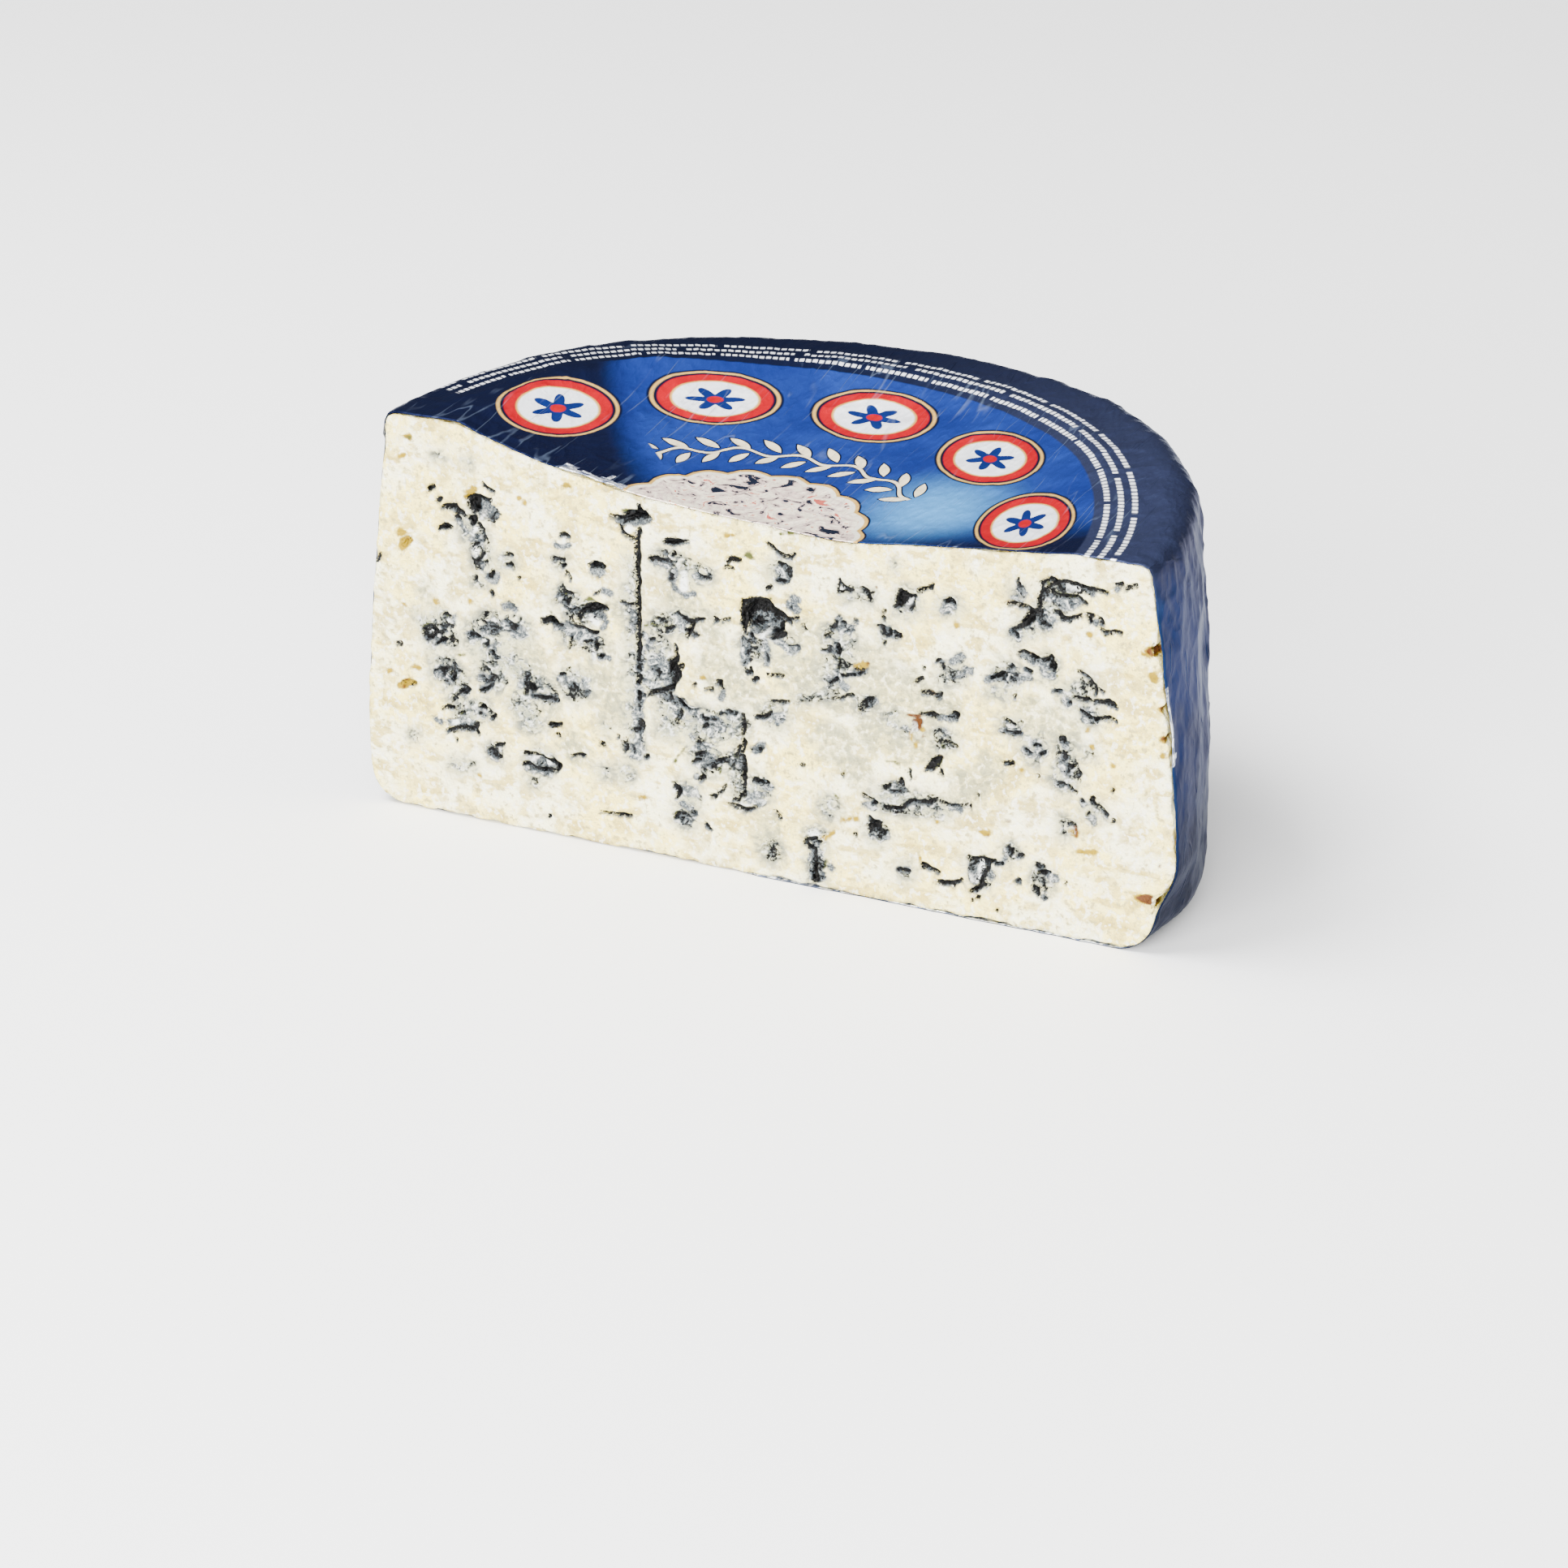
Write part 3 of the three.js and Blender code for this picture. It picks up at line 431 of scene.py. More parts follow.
    [(27.2, 17.2, 0.8), (27.8, 17.2, 1.2), (27.6, 16.2, 0.6)], [(29.8, 15.2, 1.0)], [(31.6, 16.9, 0.3)],
    [(25.8, 24.7, 0.3), (28.0, 23.6, 0.3)], [(28.4, 22.8, 0.6), (29.2, 22.8, 0.4)],
    [(31.0, 22.4, 0.9), (32.6, 22.6, 0.9), (34.6, 22.7, 0.9), (35.6, 23.6, 0.8), (37.0, 25.0, 0.9),
     (38.6, 25.2, 0.6), (41.4, 25.5, 0.9), (42.2, 26.2, 0.8), (43.2, 26.7, 0.4)],
    [(44.4, 26.4, 0.2), (48.0, 26.0, 0.3), (50.6, 26.6, 0.3)],
    [(30.2, 26.8, 0.4), (31.0, 27.2, 1.0), (31.9, 27.9, 0.8)],
    [(34.2, 28.4, 0.7), (35.0, 28.8, 1.1), (35.0, 29.9, 0.7)], [(32.4, 26.8, 0.4), (34.6, 26.5, 0.4)],
    [(37.2, 32.6, 0.4), (37.0, 31.6, 0.4), (37.2, 30.6, 0.5)],
    [(40.4, 10.6, 0.9), (41.6, 10.3, 0.8), (43.9, 9.2, 0.4)],
    [(34.2, 8.3, 0.4), (35.6, 8.3, 0.5), (37.0, 8.4, 0.6)],
    [(43.8, 7.0, 0.4), (45.2, 7.2, 0.9), (46.8, 7.5, 1.0), (48.0, 7.9, 0.9), (49.6, 8.9, 0.3)],
    [(47.7, 7.0, 0.5)], [(53.2, 29.3, 0.4)], [(51.4, 26.4, 0.5)],
    [(60.4, 18.8, 0.6), (61.0, 18.0, 0.9), (61.3, 17.4, 0.8)], [(61.0, 18.0, 0.6), (61.9, 18.5, 0.4)],
    [(63.0, 17.1, 0.4), (64.4, 17.5, 0.3)],
    [(51.0, 14.5, 0.4), (52.4, 14.6, 0.6), (53.6, 14.5, 1.2), (55.2, 14.7, 1.4), (56.6, 14.7, 1.1),
     (57.5, 15.1, 0.7)],
    [(56.0, 14.2, 0.9), (56.1, 13.2, 0.7), (55.2, 11.6, 0.6), (54.5, 10.0, 0.6), (54.5, 8.8, 1.3),
     (53.8, 7.8, 0.9), (51.8, 6.6, 0.4)], [(55.2, 8.6, 0.6)], [(57.8, 14.2, 0.3), (59.4, 14.8, 0.3)],
    [(53.4, 5.5, 0.4), (54.0, 5.5, 0.5)], [(52.4, 4.5, 0.4)], [(58.2, 3.4, 0.4)],
    [(62.7, 10.9, 0.4), (63.4, 11.4, 0.6)], [(67.4, 16.2, 0.3), (68.2, 15.6, 0.4)],
    [(68.2, 14.3, 0.6), (69.4, 14.4, 1.0), (70.6, 14.9, 0.3)],
    [(66.9, 10.6, 0.8), (67.6, 10.0, 1.2), (68.1, 9.0, 0.8)], [(68.6, 12.6, 0.3), (69.7, 10.8, 0.3)],
    [(74.4, 13.3, 0.4)], [(80.2, 33.6, 1.2), (80.3, 32.8, 0.7), (82.0, 32.0, 0.4), (83.7, 30.6, 0.4)],
    [(84.9, 29.4, 0.6)], [(79.3, 30.2, 0.5)], [(78.0, 33.0, 0.6)],
    [(74.8, 26.6, 0.5), (75.4, 27.3, 0.4), (76.0, 26.9, 0.4)],
]
# Bites out of the paste at its upright edges: side, height above the base, half height and depth
BITES = [
    (1, 69.6, 1.7, 3.2), (1, 57.0, 1.3, 1.4), (1, 50.2, 1.5, 1.2), (1, 13.0, 1.5, 3.6),
    (-1, 60.2, 1.0, 0.7), (-1, 68.6, 0.9, 0.5),
]
# A needle channel: its x, then lengths with gaps between, each a run of z and the width of its black core
NEEDLE_CHANNELS = [
    (-29.5, [[(76.0, 0.9), (73.6, 1.1), (71.0, 1.3), (67.0, 1.2), (64.6, 1.0), (62.4, 0.9), (59.0, 1.0),
              (57.8, 0.5)],
             [(57.0, 0.7), (54.6, 0.9), (51.6, 1.0), (48.4, 0.9), (46.0, 0.6)], [(45.2, 0.6), (44.0, 0.7)],
             [(42.4, 1.0), (41.0, 1.1)], [(38.6, 0.6), (37.0, 0.6)], [(35.4, 0.5), (34.6, 0.4)]]),
    (-3.5, [[(37.8, 0.6), (36.2, 0.8), (34.6, 1.0), (33.4, 0.8)], [(31.8, 1.0), (30.4, 0.8), (29.2, 0.7)],
            [(28.0, 0.8), (26.6, 1.1), (25.0, 0.9), (23.4, 1.1), (22.0, 0.8), (20.4, 0.6), (18.8, 0.8)]]),
    (14.1, [[(8.6, 0.7), (7.0, 0.7), (5.6, 0.8), (4.2, 1.1), (1.6, 1.5)]]),
]
# Blue-grey floors of the hollows, and mould in the joins
SLATE = [
    [(-69.0, 76.0, 2.2), (-67.2, 75.2, 3.2), (-65.8, 74.6, 2.4)], [(-66.3, 73.2, 1.2)],
    [(-75.0, 71.8, 0.4), (-73.4, 70.0, 0.5), (-72.4, 69.4, 0.5)],
    [(-69.8, 68.4, 1.2), (-69.0, 67.0, 1.0)], [(-71.6, 67.8, 0.8)],
    [(-50.0, 70.5, 0.3), (-48.0, 69.8, 0.5), (-46.6, 70.4, 0.3)],
    [(-34.0, 78.2, 0.7), (-31.6, 78.2, 1.0), (-29.0, 79.0, 1.2), (-26.6, 79.6, 0.6)],
    [(-22.8, 72.2, 0.5)], [(-25.0, 70.1, 1.2), (-22.2, 70.2, 1.2)],
    [(-20.0, 68.6, 1.0), (-21.0, 67.6, 1.0), (-21.2, 66.0, 1.0), (-20.2, 64.4, 0.7), (-17.6, 63.5, 0.4),
     (-15.6, 64.1, 0.4)], [(-15.4, 68.6, 0.7), (-12.6, 68.5, 1.1)],
    [(5.0, 72.6, 1.0), (6.4, 73.8, 1.1), (7.7, 73.4, 0.9), (7.2, 71.2, 0.7), (5.2, 70.8, 0.9)],
    [(8.6, 67.2, 1.0), (10.2, 67.0, 0.9)], [(8.0, 65.4, 1.4), (9.8, 64.9, 0.8)],
    [(45.4, 72.2, 1.2), (47.2, 72.0, 0.8)], [(44.8, 70.6, 1.2)], [(62.6, 79.0, 1.0), (63.2, 77.8, 1.0)],
    [(61.4, 76.2, 0.3), (63.0, 75.8, 0.3)], [(61.0, 68.4, 1.2), (62.4, 67.6, 1.0)],
    [(72.6, 80.0, 0.9), (76.6, 80.8, 0.7), (79.4, 80.2, 0.7)],
    [(68.6, 77.7, 1.2), (70.8, 77.6, 0.8), (72.6, 77.2, 1.2), (75.6, 77.8, 1.6)],
    [(72.0, 75.6, 0.3), (75.0, 76.8, 0.5)],
    [(67.6, 73.6, 1.4), (67.2, 72.2, 1.4), (68.8, 71.4, 1.4), (70.4, 72.6, 0.6)], [(80.0, 73.8, 0.8)],
    [(84.8, 82.1, 0.4)], [(-70.8, 63.2, 1.2), (-69.4, 61.8, 1.2)],
    [(-67.6, 59.4, 1.0), (-66.0, 59.2, 1.4), (-65.2, 60.2, 0.9)],
    [(-63.8, 53.2, 0.4), (-62.4, 53.3, 0.9), (-60.8, 52.8, 0.5)],
    [(-76.6, 48.2, 0.6), (-76.8, 47.0, 0.5)], [(-79.4, 45.0, 1.0)],
    [(-63.2, 48.6, 2.2), (-61.6, 48.2, 2.0), (-60.4, 47.8, 2.8), (-59.6, 47.4, 2.2)],
    [(-67.4, 47.7, 1.2), (-65.4, 47.3, 0.5)], [(-69.0, 46.4, 1.1), (-67.2, 46.6, 1.2)],
    [(-72.6, 44.6, 1.5), (-70.8, 44.7, 1.2), (-69.6, 44.8, 1.0)], [(-66.7, 42.6, 1.6)],
    [(-80.8, 42.8, 0.5), (-82.0, 41.8, 0.4)],
    [(-81.2, 34.8, 1.4), (-79.6, 34.2, 1.8), (-78.4, 33.0, 1.8)],
    [(-76.8, 36.6, 1.0), (-76.4, 34.6, 1.0)], [(-69.4, 35.2, 2.0), (-68.0, 34.8, 1.4)],
    [(-69.8, 32.0, 1.0), (-67.4, 33.4, 1.0)],
    [(-59.6, 35.0, 1.2), (-58.8, 36.4, 0.8), (-57.6, 37.8, 0.5)],
    [(-57.4, 33.0, 0.9), (-54.0, 32.9, 1.0), (-50.8, 33.0, 0.8)], [(-61.6, 40.5, 0.6)],
    [(-41.0, 65.6, 0.8), (-39.6, 65.2, 1.5), (-38.3, 65.7, 0.8)],
    [(-49.0, 57.8, 1.4), (-47.2, 56.4, 1.2), (-45.6, 55.2, 0.9)],
    [(-38.2, 61.0, 0.6), (-36.6, 61.0, 0.8)],
    [(-41.6, 55.0, 1.2), (-39.8, 55.4, 1.7), (-38.4, 54.8, 1.1)],
    [(-50.2, 50.8, 1.2), (-47.8, 50.2, 2.0), (-45.0, 50.0, 2.4), (-42.6, 49.8, 2.0), (-40.6, 49.4, 1.2)],
    [(-38.6, 45.4, 0.6), (-37.0, 45.4, 0.5)], [(-37.6, 54.0, 0.3), (-38.6, 52.2, 0.3)],
    [(-49.2, 38.4, 1.4), (-46.4, 37.6, 1.6)],
    [(-43.4, 38.4, 0.7), (-42.7, 37.0, 0.9), (-43.2, 35.6, 0.6)],
    [(-30.8, 57.0, 0.8), (-30.9, 53.0, 0.8)], [(-28.9, 49.0, 0.7), (-29.3, 44.0, 1.2)],
    [(-29.4, 39.6, 1.2), (-29.4, 36.4, 1.4)],
    [(-29.7, 35.0, 1.8), (-29.6, 32.0, 1.8), (-29.6, 29.0, 1.3), (-29.9, 26.0, 1.4), (-30.0, 23.2, 1.2)],
    [(-31.4, 25.0, 0.7), (-31.2, 22.8, 0.6)],
    [(-19.6, 58.8, 0.8), (-18.4, 57.6, 1.8), (-18.6, 56.0, 1.2)], [(-15.6, 54.6, 1.0)],
    [(-28.2, 52.4, 0.7), (-26.6, 51.0, 1.0)], [(-27.2, 49.8, 0.8)],
    [(-28.2, 41.8, 0.9), (-26.4, 41.0, 1.0), (-24.6, 40.6, 0.9)], [(-25.6, 46.8, 1.2)],
    [(-23.0, 43.4, 1.0), (-22.6, 41.8, 0.8)],
    [(-23.4, 38.8, 1.0), (-21.2, 38.6, 1.5), (-19.2, 38.0, 1.5), (-17.4, 37.1, 1.2), (-15.4, 36.0, 1.2),
     (-13.2, 35.0, 1.6), (-11.0, 35.0, 1.5), (-9.2, 35.2, 1.2)], [(-20.2, 36.0, 1.0), (-19.4, 34.6, 1.2)],
    [(-8.8, 42.0, 0.8), (-8.9, 40.9, 0.7)], [(-7.4, 37.6, 1.2), (-4.8, 37.4, 1.2)],
    [(-3.2, 55.8, 1.0), (-2.9, 53.6, 1.4), (-2.9, 51.2, 1.6), (-3.2, 50.0, 0.9)],
    [(-1.4, 57.0, 0.8), (-1.0, 55.6, 0.6)],
    [(4.8, 62.7, 1.4), (3.6, 61.2, 2.5), (2.2, 60.3, 2.4), (0.4, 60.0, 1.8)],
    [(-0.8, 58.2, 1.0), (2.0, 58.6, 0.9)],
    [(5.0, 56.6, 0.8), (6.8, 56.2, 0.8), (8.2, 55.3, 1.3), (9.6, 55.6, 0.8)],
    [(1.8, 56.4, 1.0), (2.4, 54.4, 1.3), (2.5, 51.4, 1.1)],
    [(19.8, 64.2, 1.2), (20.4, 62.6, 2.4), (21.8, 62.2, 1.6), (23.2, 62.6, 0.6)], [(23.8, 64.4, 0.6)],
    [(18.6, 56.4, 0.9), (19.0, 57.8, 0.9)], [(17.4, 50.0, 0.8), (19.2, 50.8, 0.9)],
    [(20.4, 49.6, 1.2), (21.6, 48.4, 0.8)], [(22.6, 52.2, 0.8), (26.0, 53.6, 0.9)],
    [(26.8, 45.6, 1.1), (28.4, 47.2, 0.5)], [(30.0, 64.2, 0.8), (31.2, 62.8, 1.2), (33.8, 63.0, 1.0)],
    [(44.4, 59.0, 0.6)], [(47.0, 59.4, 0.5), (48.2, 60.4, 1.4), (49.4, 60.8, 0.5)],
    [(47.4, 55.6, 0.3), (49.4, 57.0, 0.5), (50.2, 58.0, 0.5), (51.4, 57.8, 0.5)], [(43.8, 50.8, 0.9)],
    [(43.8, 45.8, 0.4), (46.0, 46.0, 0.4), (47.6, 46.2, 0.9)],
    [(3.6, 39.0, 1.0), (5.2, 39.4, 1.1), (6.0, 38.4, 0.6), (4.8, 37.8, 0.7)], [(36.0, 41.8, 0.9)],
    [(45.4, 43.4, 0.5), (44.6, 42.4, 0.3)],
    [(63.6, 63.6, 0.8), (65.2, 63.1, 1.0), (68.6, 62.6, 1.0), (69.6, 62.0, 0.9)],
    [(68.4, 60.4, 0.8), (70.2, 60.4, 1.0)],
    [(55.4, 56.6, 1.0), (58.4, 57.8, 1.4), (60.4, 58.5, 2.2), (62.2, 58.3, 1.5), (65.0, 58.8, 0.9)],
    [(61.0, 60.4, 0.9)], [(64.6, 60.5, 0.8)], [(70.8, 56.6, 0.6), (72.4, 56.8, 0.5)], [(73.8, 54.9, 1.3)],
    [(77.4, 53.2, 1.0), (79.2, 53.0, 1.2)], [(78.2, 51.8, 1.2), (79.8, 51.4, 0.9)],
    [(59.0, 45.5, 0.5), (63.2, 45.6, 0.5)],
    [(66.4, 44.2, 0.8), (67.8, 43.4, 1.1), (68.6, 42.2, 0.8), (67.2, 41.8, 1.0)],
    [(64.4, 42.2, 1.1), (65.4, 41.4, 0.9)], [(73.0, 46.0, 0.8), (73.6, 45.0, 1.5)],
    [(73.2, 41.6, 1.6), (73.6, 39.8, 1.8), (74.8, 38.6, 1.0)], [(72.4, 35.8, 1.2), (73.8, 35.6, 1.0)],
    [(-74.6, 23.6, 1.6), (-72.8, 23.6, 1.2)], [(-82.0, 23.0, 0.3), (-80.6, 22.2, 0.4)],
    [(-70.8, 26.8, 0.8), (-69.6, 26.0, 0.9)], [(-68.2, 16.9, 1.0), (-66.2, 16.3, 0.9)],
    [(-58.4, 15.8, 1.0), (-56.0, 15.0, 1.0), (-52.6, 14.9, 0.9)], [(-74.6, 30.0, 0.7)],
    [(-33.0, 24.8, 1.1)], [(-12.6, 26.6, 1.4), (-11.4, 26.0, 1.2)],
    [(-14.4, 24.2, 1.0), (-12.4, 24.6, 1.4), (-10.4, 24.8, 1.1)], [(-15.2, 21.2, 0.6)],
    [(-18.6, 17.2, 1.0), (-17.0, 17.4, 1.4), (-15.4, 17.0, 0.8)],
    [(-19.0, 14.0, 0.4), (-17.0, 12.8, 0.6), (-16.1, 12.0, 0.8), (-16.8, 10.6, 0.6)],
    [(-20.0, 10.1, 1.2), (-18.4, 10.2, 1.8), (-17.2, 9.8, 1.2)], [(-12.6, 9.5, 0.8)],
    [(-6.4, 26.7, 1.3), (-6.6, 25.9, 0.8)], [(-4.2, 27.4, 1.6), (-4.2, 25.0, 1.2)],
    [(-2.8, 19.2, 1.0), (-2.0, 18.0, 1.0), (-0.4, 19.4, 0.9), (0.8, 19.9, 0.9)],
    [(-11.9, 33.4, 1.4), (-11.6, 31.6, 0.5)], [(-9.6, 33.6, 1.4)], [(-16.2, 30.5, 0.6)],
    [(-14.9, 28.2, 0.9), (-13.0, 28.6, 1.2)], [(-0.6, 30.0, 1.3), (0.9, 31.6, 1.3)],
    [(1.6, 22.3, 1.3), (2.9, 21.6, 0.9)], [(0.2, 17.3, 0.9), (1.0, 18.1, 0.5)],
    [(14.3, 9.6, 1.4), (14.4, 6.0, 3.0), (14.4, 3.0, 3.2)], [(17.6, 6.0, 0.5), (18.2, 5.4, 0.6)],
    [(28.4, 15.8, 1.3), (30.4, 15.6, 1.7), (31.6, 15.8, 0.9)], [(26.0, 22.1, 0.4), (28.4, 22.4, 0.8)],
    [(47.4, 25.6, 1.2), (49.0, 25.2, 0.8)], [(32.6, 26.9, 0.7), (34.6, 26.6, 0.7), (35.6, 27.4, 0.4)],
    [(33.0, 28.0, 0.9)], [(36.6, 8.5, 1.3)], [(34.6, 8.2, 0.7)], [(60.8, 18.0, 1.4)], [(63.4, 17.2, 0.7)],
    [(52.0, 12.8, 0.9), (52.6, 9.2, 1.2)], [(56.8, 12.2, 1.0), (56.5, 10.6, 0.5)],
    [(58.0, 14.2, 0.5), (59.8, 15.3, 0.5), (60.0, 16.6, 0.4)], [(68.2, 15.6, 1.0)],
    [(70.6, 14.0, 1.1), (72.0, 13.4, 1.0)], [(69.4, 8.5, 0.7)], [(63.0, 11.0, 0.8)],
    [(80.2, 29.0, 0.9), (80.3, 28.0, 0.7)], [(78.2, 32.6, 1.1)],
]
# Grey haze round the mould
HAZE = [
    [(-72.0, 70.6, 5.0), (-69.0, 66.0, 5.0), (-69.0, 62.0, 4.0)], [(-70.0, 58.0, 3.0)],
    [(-63.0, 64.0, 3.0)], [(-84.6, 46.6, 3.4), (-80.0, 47.4, 4.0)],
    [(-82.0, 43.0, 6.0), (-78.0, 43.0, 4.0)], [(-79.0, 35.0, 7.0), (-76.0, 32.0, 6.0)],
    [(-67.0, 49.0, 5.0), (-60.0, 48.0, 6.0)],
    [(-70.0, 45.0, 7.0), (-66.0, 41.0, 7.0), (-67.0, 36.0, 7.0)],
    [(-62.0, 40.0, 5.0), (-58.0, 36.0, 6.0), (-53.0, 34.0, 5.0)],
    [(-74.0, 25.0, 6.0), (-70.0, 27.0, 5.0)], [(-77.0, 12.6, 2.4), (-73.0, 13.2, 1.6)],
    [(-88.0, 17.6, 1.8)], [(-66.6, 17.6, 3.4)], [(-57.0, 27.0, 6.0), (-60.0, 30.0, 6.0)],
    [(-56.6, 12.0, 1.6)], [(-54.8, 17.0, 7.0)], [(-49.0, 66.0, 2.4)],
    [(-48.0, 57.6, 6.0), (-43.0, 55.0, 6.0)], [(-47.0, 50.0, 5.0), (-41.0, 48.0, 5.0)],
    [(-45.6, 37.4, 8.0)],
    [(-31.0, 70.0, 2.0), (-31.4, 58.0, 3.0), (-31.0, 46.0, 3.0), (-31.0, 36.0, 3.0), (-30.6, 24.0, 4.0)],
    [(-38.0, 29.0, 2.0)], [(-33.0, 18.6, 3.4)], [(-38.6, 17.6, 2.4)],
    [(-24.0, 71.0, 4.0), (-18.0, 69.6, 5.0), (-13.0, 69.0, 4.0)],
    [(-25.0, 55.6, 4.0), (-19.0, 57.0, 4.0)], [(-25.0, 50.0, 6.0), (-25.0, 43.0, 8.0)],
    [(-22.0, 36.0, 5.0), (-22.0, 31.0, 5.0)], [(-16.0, 34.0, 7.0), (-10.0, 34.0, 7.0), (-5.0, 36.0, 6.0)],
    [(-13.0, 26.0, 8.0)], [(-17.0, 17.0, 5.0), (-18.0, 11.0, 5.0)],
    [(-6.0, 27.0, 4.0), (-3.4, 19.0, 5.0), (0.0, 21.0, 6.0)], [(-2.4, 54.0, 4.0), (2.0, 54.0, 4.0)],
    [(5.0, 73.0, 4.0)], [(8.0, 56.0, 4.0)], [(20.0, 60.0, 7.0), (19.0, 50.0, 6.0)], [(26.0, 46.0, 4.0)],
    [(22.0, 70.8, 2.6), (27.0, 71.0, 2.4)], [(36.0, 71.0, 6.0)], [(46.0, 71.6, 4.0)], [(31.0, 63.0, 4.0)],
    [(47.8, 57.0, 4.0), (44.4, 55.0, 2.6)], [(33.0, 43.4, 4.0), (37.0, 41.6, 3.0)], [(45.0, 41.0, 5.0)],
    [(4.0, 39.0, 6.0)], [(10.0, 44.0, 2.0), (16.0, 46.0, 2.0)], [(3.0, 6.8, 5.0)],
    [(14.4, 12.4, 4.0), (14.6, 3.0, 4.0)], [(17.6, 19.8, 4.4)], [(29.6, 16.2, 5.0)],
    [(31.0, 24.6, 6.0), (44.0, 24.6, 5.0)], [(36.0, 8.6, 3.4)], [(54.0, 11.0, 6.0)], [(61.6, 17.6, 3.6)],
    [(69.0, 12.6, 5.0)], [(74.0, 26.0, 3.4)], [(60.0, 58.4, 6.0)],
    [(62.0, 67.6, 3.0), (68.0, 73.0, 5.0), (72.0, 77.6, 5.0)], [(62.6, 78.6, 2.4)], [(69.0, 62.0, 5.0)],
    [(78.0, 59.4, 3.0), (74.0, 56.0, 3.0), (79.0, 53.0, 4.0)], [(61.0, 46.8, 3.6)], [(66.6, 42.6, 6.0)],
    [(73.8, 43.0, 5.0), (74.0, 37.0, 6.0)], [(80.6, 31.0, 4.0)], [(79.0, 44.0, 2.4)], [(56.6, 54.0, 1.6)],
    [(59.2, 53.8, 1.4)], [(-80.0, 86.4, 0.4), (-78.6, 86.1, 0.4)], [(-71.8, 85.9, 0.5)],
    [(33.0, 78.8, 0.6)],
]
# Soft grey-green patches in the paste, with no black in them
VEILS = [
    [(-60.7, 47.4, 5.0), (-58.0, 41.5, 8.0), (-55.3, 36.5, 8.0), (-52.6, 33.0, 7.0)],
    [(-70.0, 42.5, 5.0), (-62.0, 42.0, 5.0)],
    [(-39.0, 48.0, 6.0), (-37.0, 43.3, 7.0), (-37.7, 37.0, 8.0)],
    [(-34.0, 58.0, 4.0), (-34.4, 55.6, 4.0)], [(-33.0, 32.8, 6.0), (-37.7, 31.3, 4.0)],
    [(-84.0, 53.4, 3.5)], [(-75.6, 28.1, 5.0)], [(-20.0, 62.0, 7.0), (-12.0, 58.0, 7.0)],
    [(-10.0, 48.0, 9.0), (-4.0, 44.0, 8.0)],
    [(8.0, 50.0, 8.0), (20.0, 48.0, 10.0), (34.0, 50.0, 12.0), (44.0, 48.0, 9.0)],
    [(12.0, 60.0, 6.0), (28.0, 56.0, 8.0)], [(30.0, 40.0, 10.0), (40.0, 38.0, 8.0)],
    [(18.0, 36.0, 8.0), (24.0, 30.0, 7.0)], [(66.0, 50.0, 8.0), (74.0, 48.0, 6.0)],
    [(50.0, 30.0, 8.0), (56.0, 36.0, 6.0)], [(-46.0, 22.0, 7.0)], [(2.0, 12.0, 6.0)],
]
# Pale spots inside the mould
PALE = [
    [(-70.3, 70.6, 1.6)], [(-70.8, 65.0, 1.8)], [(-69.0, 73.2, 0.8)], [(-48.0, 71.2, 1.3)],
    [(-31.6, 76.6, 2.4)], [(-18.0, 68.2, 1.8), (-18.0, 65.4, 2.2)],
    [(-78.0, 47.4, 1.2), (-77.2, 47.2, 1.0)], [(-83.4, 43.7, 1.6)], [(-81.2, 42.8, 0.9)],
    [(-66.0, 48.9, 1.3)], [(-69.4, 43.8, 0.7)], [(-41.4, 53.6, 1.8), (-39.6, 53.2, 1.4)],
    [(-41.4, 46.4, 1.2), (-40.8, 44.6, 0.9)], [(20.6, 71.7, 0.9)], [(36.2, 71.0, 1.1), (35.1, 69.9, 0.9)],
    [(1.2, 57.2, 1.6)], [(7.0, 42.0, 1.0)], [(6.6, 41.2, 0.9)], [(73.0, 80.7, 0.9), (75.6, 80.3, 1.0)],
    [(71.4, 77.0, 0.6)], [(60.6, 46.8, 1.4)], [(83.4, 55.2, 0.8)], [(-77.4, 22.6, 1.9)],
    [(-69.4, 27.0, 1.0)], [(-65.6, 18.2, 1.3)], [(-57.2, 17.5, 1.3)], [(-53.4, 17.0, 1.4)],
    [(-21.0, 16.6, 1.0)], [(-4.0, 16.6, 1.0), (-1.6, 16.6, 0.7)],
    [(54.2, 13.2, 1.5), (53.5, 11.4, 1.6), (53.2, 9.4, 1.1)], [(33.2, 21.7, 0.9)], [(26.9, 17.9, 0.8)],
    [(12.8, 12.7, 1.6), (14.6, 12.9, 1.2)], [(62.0, 10.0, 0.8)], [(46.4, 71.2, 0.9)],
]
